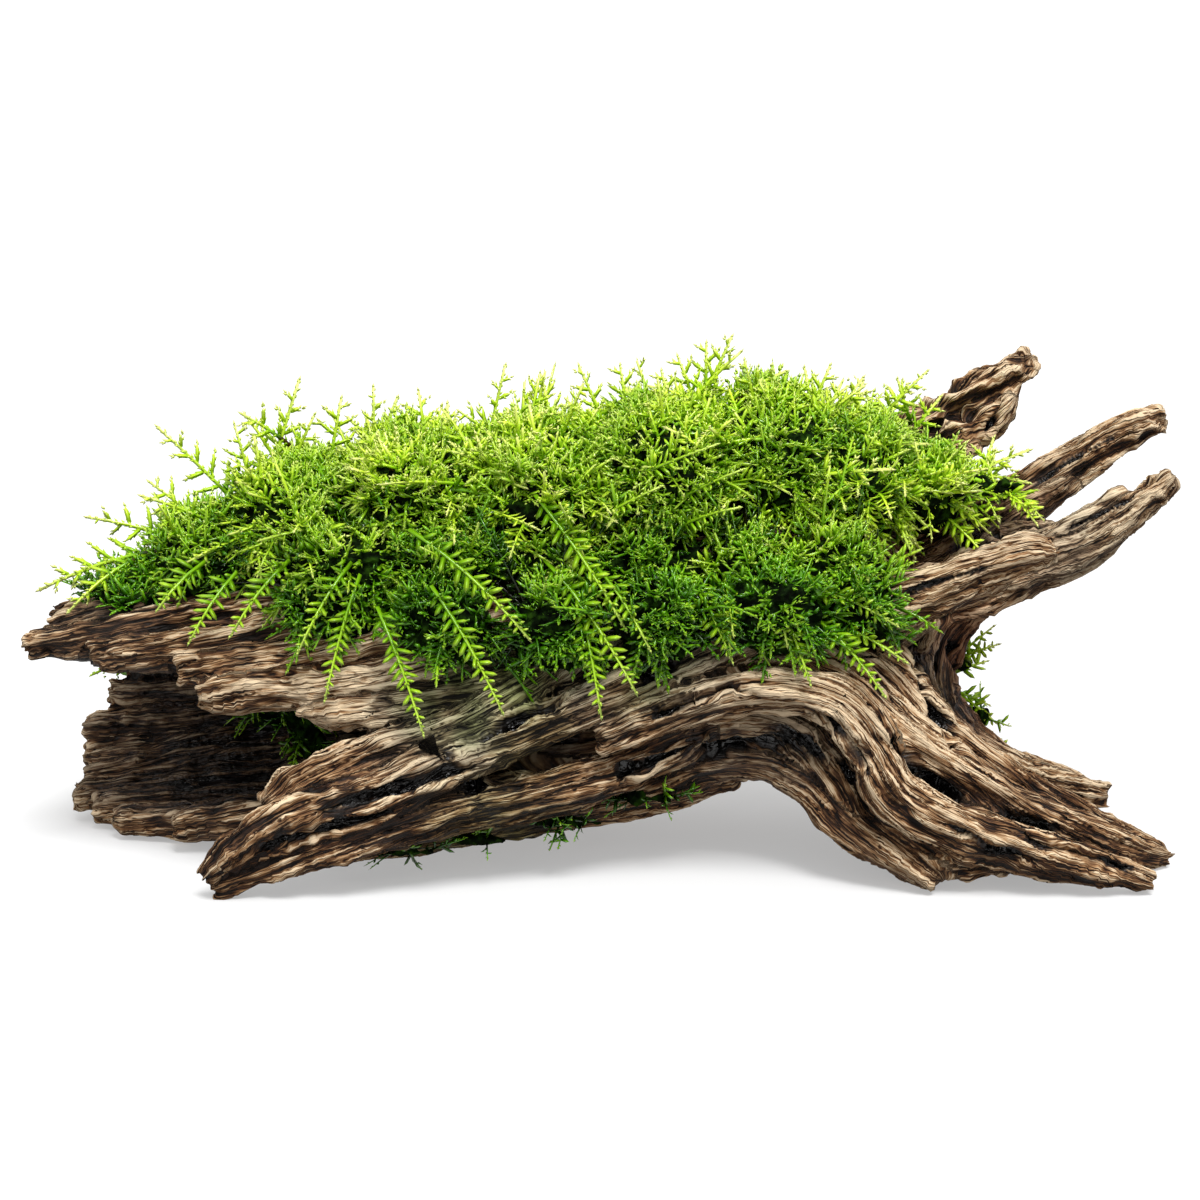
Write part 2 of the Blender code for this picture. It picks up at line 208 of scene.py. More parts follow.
# %% Strands of the wood
FRONT_ROOT = (
    ((-78, -44, 21, 3.4), (-68, -43, 27, 5), (-51, -40, 33, 5.5), (-35, -37, 38, 5.5), (-19, -33, 45, 6),
     (-5, -28, 53, 7), (14, -20, 62, 9)),
    ((-92, -50, 5, 2.6), (-84, -50, 12, 5), (-70, -49, 19, 6.2), (-53, -47, 24, 6.6), (-37, -44, 31, 6.6),
     (-19, -40, 37, 6), (0, -36, 44, 6), (19, -32, 51, 6.5), (36, -26, 55, 8)),
    ((-90, -49, 2.4, 3), (-72, -48, 9, 4.5), (-54, -46, 14, 5.5), (-35, -42, 19, 6), (-14, -37, 22, 6.5),
     (5, -33, 27, 6), (24, -30, 34, 6)),
    ((-64, -38, 9, 5), (-43, -32, 12, 6.5), (-19, -26, 14, 7), (0, -22, 16, 7), (19, -20, 20, 6), (34, -18, 23, 5)),
)
ARCH_LEG = (
    ((0, -38, 36, 5), (19, -38, 43, 5.5), (37, -38, 47, 6), (54, -40, 45, 6.5), (63, -42, 35, 7),
     (70, -44, 23, 7.5), (84, -45, 15, 7.5), (105, -46, 9, 6), (119, -46, 6, 4.5), (129, -46, 2.4, 3)),
    ((10, -24, 20, 6), (24, -25, 25, 6), (38, -27, 27, 5.5), (50, -31, 23, 6), (59, -36, 15, 6.5),
     (69, -41, 9, 6), (79, -45, 3.6, 4.8)),
    ((10, -24, 56, 9), (28, -26, 53, 8), (47, -28, 50, 7), (59, -31, 45, 7), (71, -35, 35, 7), (85, -37, 26, 7),
     (99, -36, 17, 6.5), (117, -33, 9, 5), (128, -29, 5, 4), (137, -26, 2, 2.8)),
    ((55, -18, 54, 8), (70, -20, 45, 7.5), (81, -24, 33, 7), (96, -26, 22, 6.5), (111, -25, 14, 5),
     (124, -21, 7, 3.5), (135, -18, 2, 2.6)),
    ((14, -27, 31, 6), (33, -28, 36, 6), (47, -30, 33, 6), (57, -34, 23, 6), (64, -38, 13, 5.5), (78, -41, 8, 6),
     (94, -42, 9, 6)),
    ((54, 0, 47, 10), (68, -8, 39, 9), (80, -16, 26, 8), (94, -22, 15, 7), (108, -26, 9, 5.5)),
)
BACK_ROOT = (
    ((99, 8, 63, 5), (91, 8, 58, 6), (85, 8, 48, 6.5), (85, 10, 34, 6.5), (92, 13, 22, 6), (105, 18, 11, 5.5),
     (119, 22, 6, 4.5), (131, 24, 2.6, 3.8)),
    ((79, 0, 57, 8), (75, -2, 48, 7), (78, 0, 36, 6.5), (86, 4, 23, 6), (97, 10, 12, 5.5)),
    ((89, 24, 65, 8), (81, 24, 49, 9), (82, 24, 31, 8), (92, 24, 17, 7), (107, 25, 8, 5.5), (121, 27, 4, 4)),
    ((51, 20, 55, 16), (70, 16, 51, 12), (79, 14, 41, 9)),
)
BRANCH_FRONT = (
    ((43, -16, 54, 9), (62, -18, 61, 8), (79, -20, 67, 6.5), (93, -21, 73, 5.5), (102, -21, 76, 5), (108, -21, 77, 4)),
    ((60, -14, 53, 7), (74, -16, 61, 6), (86, -18, 66, 5), (98, -19, 71, 4)),
)
BRANCH_MIDDLE = (
    ((74, 2, 59, 9), (89, 4, 62, 8), (104, 5, 67, 7.5), (118, 6, 72, 6.5), (128, 6, 79, 5.5), (135, 6, 85, 4.5),
     (140, 6, 89, 3.5)),
    ((94, 6, 66, 5), (109, 6, 72, 5), (121, 7, 78, 4.5), (130, 7, 84, 3.5)),
    ((99, 10, 72, 5.5), (111, 13, 74, 4)),
)
BRANCH_REAR = (
    ((66, 20, 58, 11), (81, 22, 65, 9), (94, 24, 73, 7.5), (106, 25, 80, 7), (118, 25, 88, 6.5), (128, 25, 95, 5.5),
     (136, 25, 99, 4.8), (141, 25, 101, 3.8)),
    ((91, 20, 69, 5), (103, 21, 77, 5), (113, 21, 83, 4), (118, 21, 86, 3)),
)
STUB = (
    ((64, 34, 73, 12), (77, 37, 88, 9.5), (87, 38, 97, 8), (97, 38, 105, 7), (104, 38, 110, 5.5), (109, 38, 114, 4)),
    ((85, 43, 95, 5), (93, 44, 103, 3.5), (97, 44, 109, 2.2)),
    ((89, 33, 92, 6.5), (98, 32, 98, 4.5), (103, 32, 103, 3)),
)
HEART = (
    ((-38, 3, 44, 22), (-20, 5, 46, 27), (10, 6, 53, 28), (40, 10, 58, 25), (62, 14, 61, 19)),
    ((-45, -8, 24, 13), (-15, -10, 27, 15), (10, -10, 34, 13), (30, -10, 41, 12)),
    ((38, -20, 44, 9), (56, -23, 35, 8), (68, -27, 25, 7)),
)
LIMBS = FRONT_ROOT + ARCH_LEG + BACK_ROOT + BRANCH_FRONT + BRANCH_MIDDLE + BRANCH_REAR + STUB
print(len(LIMBS), "limb strands and", len(HEART), "heart strands")

# %% [markdown]
# The hollow log is a ring of strands round an oval that widens along the log. Each starts where the wood has
# broken away, so the end is ragged, and the ring stays open at the front.

# %% Strands of the log's wall
LOG_SECTIONS = (
    (-140, -2, 29, 31, 25),
    (-100, -2, 33, 33, 28),
    (-60, -1, 39, 34, 29),
    (-20, 2, 46, 33, 30),
    (20, 5, 53, 31, 29),
    (55, 8, 58, 27, 26),
)
LOG_END = (
    (-84, -70),
    (-70, -94),
    (-55, -98),
    (-42, -118),
    (-24, -137),
    (-8, -133),
    (8, -134),
    (30, -128),
    (60, -125),
    (80, -121),
    (98, -127),
    (115, -134),
    (135, -130),
    (155, -133),
    (175, -125),
    (192, -119),
    (206, -96),
)
WALL_RADIUS = 5.6
WALL_PITCH = 15
WALL_STATIONS = 8
WALL_LIPS = (-60, 190)
LIP_END = 0
WALL_END = 56
WALL_SWAY = 4
TIP_SHARE = 0.72


def wall_strands():
    """The stations of each strand of the log's wall, from the lip of the roof over the back to the floor's lip."""
    columns = np.array(LOG_SECTIONS, float).T
    degrees, starts = np.array(LOG_END, float).T
    strands = []
    for count, turn in enumerate(np.arange(degrees[0], degrees[-1] + 1, WALL_PITCH)):
        start = np.interp(turn, degrees, starts)
        end = WALL_END if WALL_LIPS[0] < turn < WALL_LIPS[1] else LIP_END
        stations = []
        for x in np.linspace(start, end, WALL_STATIONS):
            y, z, deep, high = [np.interp(x, columns[0], column) for column in columns[1:]]
            angle = math.radians(turn + WALL_SWAY * math.sin(0.05 * x + count))
            radius = WALL_RADIUS * (1 if x > start else TIP_SHARE)
            stations.append((x, y + deep * math.sin(angle), z + high * math.cos(angle), radius))
        strands.append(stations)
    return strands


WALL = wall_strands()
print(len(WALL), "strands in the wall of the log")

# %% [markdown]
# Each strand becomes a bundle: a core, with a ring of thinner fibres that wander round it, swell and thin. The
# fibres run out at different lengths at a free end, so the tips come out frayed, as broken driftwood is.

# %% Bundles of fibres
RING_STEP = 2.6
FIBRE_PITCH = 3.3  # mm between fibres round a strand
CORE_SHARE = 0.86
rng = np.random.default_rng(7)
axis_rows = []  # samples of every strand's axis: x, y, z, radius, run along it, strand number


def bundle(stations, number):
    """The core and fibres of one strand. Its axis is kept too, for the grain later on."""
    route, run = smooth_route(stations, RING_STEP)
    centres, radii = route[:, :3], route[:, 3]
    ahead, across, up = frames_along(centres)
    axis_rows.append(
        np.column_stack((centres, radii, run, np.full(len(run), number), ahead, across, up))
    )
    fibres = max(6, int(2 * math.pi * radii.mean() / FIBRE_PITCH))
    thick = np.clip(0.3 * radii, 0.8, 2.1)
    core = route.copy()
    core[:, 3] = radii * CORE_SHARE - 0.25 * thick
    if len(core) > 8:
        core = core[1:-1]
    made = [tube(core, 12)]
    for i in range(fibres):
        first = rng.integers(0, 2) if len(run) > 10 else 0
        last = len(run) - (rng.integers(0, 2) if len(run) > 10 else 0)
        phase = rng.uniform(0, 2 * math.pi, 3)
        angle = 2 * math.pi * (i + rng.uniform(-0.25, 0.25)) / fibres
        angle = angle + 0.28 * np.sin(run / 17 + phase[0]) + 0.10 * np.sin(run / 6 + phase[1]) + run * 0.002
        swell = 0.82 + 0.34 * np.sin(run / 11 + phase[2])
        size = thick * swell * rng.uniform(0.8, 1.15)
        reach = radii - 0.78 * thick + 0.18 * np.sin(run / 8 + phase[1])
        fibre = np.column_stack(
            (centres + across * (reach * np.cos(angle))[:, None] + up * (reach * np.sin(angle))[:, None], size)
        )
        made.append(tube(fibre[first:last]))
    return made


fibres = []
for number, stations in enumerate(list(LIMBS) + WALL):
    fibres += bundle(stations, number)
fibres += [tube(smooth_route(stations, RING_STEP)[0], 16) for stations in HEART]
loose = mesh_of("fibres", *joined(fibres))
print(len(fibres), "fibres of", len(loose.vertices), "points")

# %% [markdown]
# Sculptors fuse overlapping clay with a voxel remesh, and the Remesh modifier does the same here. The largest
# island is kept: what is sealed inside would never be seen.

# %% Fuse the fibres
WOOD_VOXEL = 0.7


def mesh_object(name, mesh):
    made = bpy.data.objects.new(name, mesh)
    bpy.context.scene.collection.objects.link(made)
    return made


def fused(mesh, name, voxel):
    """The loose closed shapes of a mesh as one skin, as a mesh object in millimetres."""
    made = mesh_object(name, mesh)
    remesh = made.modifiers.new("fuse", "REMESH")
    remesh.mode = "VOXEL"
    remesh.voxel_size = voxel
    skin = bpy.data.meshes.new_from_object(made.evaluated_get(bpy.context.evaluated_depsgraph_get()))
    made.modifiers.clear()
    made.data = skin
    return made


def positions(mesh):
    flat = np.empty(len(mesh.vertices) * 3, np.float32)
    mesh.vertices.foreach_get("co", flat)
    return flat.reshape(-1, 3).astype(float)


def edge_ends(mesh):
    flat = np.empty(len(mesh.edges) * 2, np.int32)
    mesh.edges.foreach_get("vertices", flat)
    return flat.reshape(-1, 2)


def vertex_normals(mesh):
    flat = np.empty(len(mesh.vertices) * 3, np.float32)
    mesh.vertex_normals.foreach_get("vector", flat)
    return flat.reshape(-1, 3).astype(float)


def keep_largest_island(mesh):
    """Deletes every island of the mesh but the largest."""
    ends = edge_ends(mesh)
    label = np.arange(len(mesh.vertices))
    while True:
        low = np.minimum(label[ends[:, 0]], label[ends[:, 1]])
        new = label.copy()
        np.minimum.at(new, ends[:, 0], low)
        np.minimum.at(new, ends[:, 1], low)
        new = new[new]
        if (new == label).all():
            break
        label = new
    names, counts = np.unique(label, return_counts=True)
    lost = np.flatnonzero(label != names[counts.argmax()])
    bm = bmesh.new()
    bm.from_mesh(mesh)
    bm.verts.ensure_lookup_table()
    bmesh.ops.delete(bm, geom=[bm.verts[i] for i in lost], context="VERTS")
    bm.to_mesh(mesh)
    bm.free()
    return len(names) - 1


wood = fused(loose, "wood", WOOD_VOXEL)
islands = keep_largest_island(wood.data)
print(len(wood.data.vertices), "points in the fused wood,", islands, "inner islands deleted")

# %% [markdown]
# Wood is carved by its grain, so each point of the surface needs to know where it is along the grain and across
# it. A search tree over the strands' axes finds the nearest strand, and the angle round that axis gives the
# place across the grain.

# %% Where each point lies in the grain
NEAR_STRANDS = 8
axis = np.vstack(axis_rows)
tree = kdtree.KDTree(len(axis))
for i, row in enumerate(axis):
    tree.insert(Vector(row[:3]), i)
tree.balance()


def grain_of(points):
    """For each point: millimetres along the grain, millimetres across it, and the strand's number."""
    chosen = np.empty(len(points), int)
    for k, point in enumerate(points):
        found = tree.find_n(Vector(point), NEAR_STRANDS)
        chosen[k] = min(found, key=lambda hit: hit[2] - axis[hit[1], 3])[1]
    rows = axis[chosen]
    offset = points - rows[:, :3]
    angle = np.arctan2((offset * rows[:, 12:15]).sum(1), (offset * rows[:, 9:12]).sum(1))
    along = rows[:, 4] + (offset * rows[:, 6:9]).sum(1)
    return along, angle * np.maximum(rows[:, 3], 4.0), rows[:, 5]


points = positions(wood.data)
along, over, strand = grain_of(points)
print("grain found for", len(points), "points")

# %% [markdown]
# Between the strands of old wood there are crevices, some deep. They are pressed into the wood and painted
# near black, which is painted shade, as in a deep gap. The main ones are set where the camera sees them: a
# route is given in millimetres right and up on the plane through the target that faces the camera, and each
# of its points is thrown along the line of sight onto the wood.
# Each row is (half width, depth, route).

# %% Crevices
CREVICES = (
    (2.2, 4.5, ((8, -19), (14, -17), (19, -15))),
    (2.4, 5.0, ((12, -28), (22, -25), (30, -23), (35, -22))),
    (3.6, 4.0, ((4, -44), (14, -40), (26, -37), (38, -35), (49, -35), (57, -38), (63, -44))),
    (2.6, 3.5, ((50, -29), (57, -31), (62, -37), (66, -44))),
    (2.6, 5.0, ((-40, -38), (-30, -34), (-20, -29), (-10, -24))),
    (2.0, 4.0, ((-34, -46), (-24, -43), (-14, -41))),
    (2.0, 3.5, ((-70, -53), (-56, -48), (-42, -44), (-30, -41))),
    (1.6, 3.0, ((-84, -62), (-66, -56), (-50, -52))),
    (2.4, 4.5, ((72, -33), (77, -39), (83, -45), (90, -49))),
    (1.8, 3.5, ((99, -52), (106, -55), (113, -57))),
    (2.2, 3.5, ((104, -57), (112, -60), (122, -63), (132, -65))),
    (1.6, 3.0, ((86, -56), (96, -61), (108, -65))),
    (2.6, 5.0, ((77, -12), (80, -20), (83, -28), (88, -36))),
    (2.0, 4.0, ((86, -10), (88, -18), (91, -27))),
    (1.8, 4.0, ((96, 16), (106, 17), (112, 19))),
    (1.0, 2.0, ((74, 1), (84, 5), (96, 8))),
    (0.8, 1.6, ((114, 17), (124, 22), (132, 26))),
    (0.8, 1.6, ((106, 28), (118, 36), (128, 41))),
    (1.8, 3.5, ((97, 34), (101, 44), (104, 52))),
    (1.5, 3.0, ((93, 36), (96, 43), (99, 50))),
)
CREVICE_STEP = 1.2


def skin_tree(mesh):
    mesh.calc_loop_triangles()
    flat = np.empty(len(mesh.loop_triangles) * 3, np.int32)
    mesh.loop_triangles.foreach_get("vertices", flat)
    return BVHTree.FromPolygons(positions(mesh).tolist(), flat.reshape(-1, 3).tolist())


def seen_route(tree, route):
    """Points of the wood along a route on the plane that faces the camera."""
    stations = [(x, up, 0, 0) for x, up in route]
    rows, _ = smooth_route(stations, CREVICE_STEP)
    eye = CAMERA_TARGET + away * CAMERA_DISTANCE
    view_up = np.array([0, math.sin(CAMERA_RISE), math.cos(CAMERA_RISE)])
    found = []
    for x, up in rows[:, :2]:
        way = CAMERA_TARGET + np.array([x, 0, 0]) + view_up * up - eye
        place = tree.ray_cast(Vector(eye), Vector(way).normalized())[0]
        if place:
            found.append(place[:])
    return np.array(found)


# How deep each point lies in a crevice, and how dark its painted shade is there.
hollowed = np.zeros(len(points))
dark = np.zeros(len(points))
skin = skin_tree(wood.data)
for half, deep, route in CREVICES:
    line = seen_route(skin, route)
    near_line = np.flatnonzero((abs(points - line.mean(0)) < np.ptp(line, axis=0) / 2 + 8).all(1))
    gap = np.linalg.norm(points[near_line, None] - line[None], axis=2)
    ragged_half = half * (1 + 0.35 * np.sin(along[near_line] / 2.3) * np.sin(along[near_line] / 5.1 + half))
    share = np.clip(1 - gap.min(1) / (ragged_half * 1.25), 0, 1)
    ends_share = np.minimum(gap.argmin(1), len(line) - 1 - gap.argmin(1)) * CREVICE_STEP / 4
    share *= np.clip(0.35 + ends_share, 0, 1)
    hollowed[near_line] = np.maximum(hollowed[near_line], deep * (share * share * (3 - 2 * share)))
    dark[near_line] = np.maximum(dark[near_line], np.clip(share * 2.0 - 0.35, 0, 1))
points -= vertex_normals(wood.data) * hollowed[:, None]
wood.data.vertices.foreach_set("co", points.astype(np.float32).ravel())
wood.data.update()

# %% [markdown]
# Noise that is stretched along the grain makes grooves, and noise that is nearly round makes the small pits
# that worms and rot leave. Both are pressed into the surface along its normals.

# %% Grooves and pits
def noise_at(a, b, c):
    """Smooth noise between about -1 and 1 at each row of the three columns."""
    return np.array([noise.noise(row) for row in np.column_stack((a, b, c)).tolist()])


GROOVE_DEPTH = 0.9
CRACK_DEPTH = 0.8
PIT_DEPTH = 0.8
LUMP_HEIGHT = 0.9
GNARL_HEIGHT = 2.6
GNARLY_PLACES = ((86, 38, 96, 30, 1.0), (108, 38, 114, 14, 0.6), (92, 6, 66, 18, 0.7), (-72, -46, 20, 18, 0.5),
                 (-60, -38, 40, 16, 0.6), (138, 6, 88, 12, 0.5), (138, 25, 99, 12, 0.5), (85, -45, 8, 14, 0.5))


def near(places, points):
    """How much each point belongs to any of the places (x, y, z, reach, strength), from 0 to 1."""
    most = np.zeros(len(points))
    for x, y, z, reach, strength in places:
        distance = np.linalg.norm(points - (x, y, z), axis=1) / reach
        most = np.maximum(most, strength * np.clip(1.4 - distance * 1.4, 0, 1))
    return most


groove = noise_at(along / 20, over / 2.3, strand * 3.7)
crack_line = noise_at(along / 24, over / 3.0, strand * 2.9 + 70)
fine_groove = noise_at(along / 8, over / 1.2, strand * 1.3 + 50)
crack = np.clip(1 - abs(crack_line) / 0.09, 0, 1)
pit = np.clip((noise_at(along / 5.5, over / 2.1, strand * 5.1 + 20) - 0.44) / 0.15, 0, 1)
pit *= np.clip(noise_at(points[:, 0] / 14, points[:, 1] / 14, points[:, 2] / 14 + 90) * 4 - 0.2, 0, 1)
lump = noise_at(points[:, 0] / 9, points[:, 1] / 9, points[:, 2] / 9)
gnarl = 0.5 - 2 * abs(noise_at(points[:, 0] / 7, points[:, 1] / 7, points[:, 2] / 7 + 60))
gnarl *= (0.22 + near(GNARLY_PLACES, points)) * GNARL_HEIGHT
press = gnarl + lump * LUMP_HEIGHT - np.clip(-groove, 0, 1) * GROOVE_DEPTH - crack * CRACK_DEPTH - pit * PIT_DEPTH
press += fine_groove * 0.25
press *= 1 - 0.6 * dark
points += vertex_normals(wood.data) * press[:, None]
points[:, 2] = np.maximum(points[:, 2], 0.0)
wood.data.vertices.foreach_set("co", points.astype(np.float32).ravel())
wood.data.update()
print("pressed in from", round(float(press.min()), 2), "to", round(float(press.max()), 2), "mm")

# %% [markdown]
# Dry ridges are pale and matt, grooves hold dark dirt and water. How far a point stands out of its smoothed
# neighbourhood tells one from the other, and is stored on the mesh for the material to read. The dark of the
# grooves is painted shade as well, and faces that look up are painted lighter, as lit from above. Weather adds
# to that in places: sun bleaches the wood (pale) or turns it grey, water leaves it damp or wet, fresh breaks
# are red and algae make it green. The damp places low on the wood and the inside of the hollow are painted
# darker, which is partly painted shade. Each place is (x, y, z, reach, strength).

# %% Ridges, grooves, wet places and painted shade
WET_PLACES = (
    (-45, -20, 28, 13, 0.8),
    (45, -22, 33, 20, 1.0),
    (60, -22, 22, 16, 0.9),
    (76, -1, 44, 15, 1.0),
    (86, 10, 28, 14, 0.7),
    (96, 12, 70, 14, 0.9),
    (30, -34, 30, 12, 0.7),
    (-12, -24, 36, 16, 0.8),
)
GREEN_PLACES = ((-34, -36, 44, 17, 0.9), (-18, -36, 36, 16, 0.9), (10, -32, 52, 16, 0.8),
                (-30, -30, 12, 30, 0.6), (70, -14, 56, 14, 0.7), (80, -4, 34, 14, 0.4), (-20, -36, 50, 16, 1.0))
GREY_PLACES = ((112, 4, 74, 26, 0.7), (-35, -37, 42, 26, 1.0), (-5, -34, 52, 22, 0.8),
               (18, -34, 52, 18, 0.8), (-120, -2, 58, 30, 0.4))
RED_PLACES = ((96, 24, 76, 26, 0.7), (84, 12, 50, 26, 1.0), (92, 22, 72, 18, 0.9),
              (88, 16, 30, 20, 0.8), (108, 4, 70, 14, 0.3))
PALE_PLACES = ((-62, -34, 42, 18, 1.6), (45, -38, 50, 30, 0.5), (70, -40, 34, 24, 0.5), (96, -20, 74, 20, 0.3),
               (-50, -42, 32, 14, 0.6))
# Darker places: damp wood, and where they lie low on the wood and under it, also painted shade.
DAMP_AND_SHADED_PLACES = ((-84, -50, 8, 34, 1.2), (-50, -46, 14, 36, 1.2), (-10, -36, 18, 34, 1.0), (-118, -10, 52, 34, 1.5),
               (88, 38, 98, 34, 1.0), (60, -38, 12, 28, 1.0), (20, -32, 28, 24, 0.7), (84, 12, 40, 24, 0.6),
               (-90, -20, 58, 20, 0.6), (108, -36, 8, 44, 1.1),
               (96, 24, 76, 30, 0.6), (132, 25, 98, 24, 0.4), (124, 6, 76, 24, 0.4), (-92, 0, 8, 40, 1.0))


def smoothed(values, ends, count, rounds):
    """Each row averaged with its neighbours along the edges, so many times over."""
    degree = np.bincount(ends.ravel(), minlength=count).astype(float)[:, None] + 1
    for _ in range(rounds):
        total = values.copy()
        for column in range(values.shape[1]):
            total[:, column] += np.bincount(ends[:, 0], values[ends[:, 1], column], minlength=count)
            total[:, column] += np.bincount(ends[:, 1], values[ends[:, 0], column], minlength=count)
        values = total / degree
    return values


ends = edge_ends(wood.data)
normals = vertex_normals(wood.data)
near_smooth = smoothed(points, ends, len(points), 10)
far_smooth = smoothed(near_smooth, ends, len(points), 40)
stand_near = ((points - near_smooth) * normals).sum(1)
stand_far = ((points - far_smooth) * normals).sum(1)
ragged = noise_at(points[:, 0] / 8, points[:, 1] / 8, points[:, 2] / 8 + 30)
log_x, log_y, log_z, log_deep, log_high = np.array(LOG_SECTIONS, float).T
middle_y, middle_z, deep, high = (
    np.interp(points[:, 0], log_x, column) for column in (log_y, log_z, log_deep, log_high)
)
out_share = np.hypot((points[:, 1] - middle_y) / deep, (points[:, 2] - middle_z) / high)
# Inside the hollow the wood is painted darker and wetter: partly damp wood, partly painted shade.
inside_log = np.clip((1.0 - out_share) * 6, 0, 1) * np.clip((-35 - points[:, 0]) / 15, 0, 1)
# Ridges are painted paler, grooves darker as painted shade, and faces that look up lighter as painted light.
stand = 0.52 + stand_near / 2.3 + stand_far / 8.0
# Paler where bleached, darker where damp and, low on the wood, in painted shade.
bleach_and_shade = near(PALE_PLACES, points) - near(DAMP_AND_SHADED_PLACES, points)
ridge_and_groove_shade = np.clip(stand + 0.12 * normals[:, 2] + 0.3 * bleach_and_shade - 0.1 * inside_log, 0, 1)
# The wet mask also takes in the grooves, crevices and inside of the hollow, so its dark is partly painted shade.
wet = np.maximum(near(WET_PLACES, points), 0.75 * inside_log) + 0.25 * ragged - 0.5 * (ridge_and_groove_shade - 0.5)
dark *= np.clip(1.7 - 2.0 * stand, 0, 1)
wet = np.clip(np.maximum(wet, dark), 0, 1)
zones = {
    "ridge_and_groove_shade": ridge_and_groove_shade,
    "wet": wet,
    "green": np.clip(near(GREEN_PLACES, points) * (0.9 + 0.9 * ragged), 0, 1),
    "grey": np.clip(near(GREY_PLACES, points) * (0.9 + 0.5 * ragged), 0, 1),
    "red": near(RED_PLACES, points),
    "crevice_shade": np.clip(dark * 1.3 - 0.2, 0, 1),
}
for name, values in zones.items():
    layer = wood.data.attributes.new(name, "FLOAT", "POINT")
    layer.data.foreach_set("value", values.astype(np.float32))
layer = wood.data.attributes.new("grain", "FLOAT_VECTOR", "POINT")
layer.data.foreach_set("vector", np.column_stack((along, over, strand * 7.3)).astype(np.float32).ravel())
print("ridge share", round(float((ridge_and_groove_shade > 0.5).mean()), 2))
print("wet share", round(float((wet > 0.5).mean()), 2))

# %% [markdown]
# Materials are built from nodes. One small function adds a node with its settings and its links, so that a
# material reads as a list of what feeds what.

# %% A helper for shader nodes
def add_node(tree, kind, settings=None, **inputs):
    """A new node: settings are its own options, inputs are numbers, colours or other nodes' sockets by name."""
    node = tree.nodes.new(kind)
    for name, value in (settings or {}).items():
        setattr(node, name, value)
    for name, value in inputs.items():
        key = int(name[1:]) if name[0] == "_" else name.replace("_", " ")
        socket = node.inputs[key]
        if isinstance(value, bpy.types.NodeSocket):
            tree.links.new(value, socket)
        else:
            socket.default_value = value
    return node


def ramp_node(tree, factor, stops):
    """A colour ramp through the stops (place, hex colour)."""
    node = add_node(tree, "ShaderNodeValToRGB", Fac=factor)
    ramp = node.color_ramp
    while len(ramp.elements) < len(stops):
        ramp.elements.new(0.5)
    for element, (place, code) in zip(ramp.elements, stops):
        element.position = place
        element.color = linear(code)
    return node.outputs["Color"]


def attribute(tree, name, output="Fac"):
    return add_node(tree, "ShaderNodeAttribute", {"attribute_name": name}).outputs[output]


def mixed(tree, factor, first, second, blend="MIX"):
    """Two colours mixed by a factor."""
    node = add_node(tree, "ShaderNodeMix", {"data_type": "RGBA", "blend_type": blend})
    for socket, value in ((node.inputs[0], factor), (node.inputs[6], first), (node.inputs[7], second)):
        if isinstance(value, bpy.types.NodeSocket):
            tree.links.new(value, socket)
        else:
            socket.default_value = value
    return node.outputs[2]
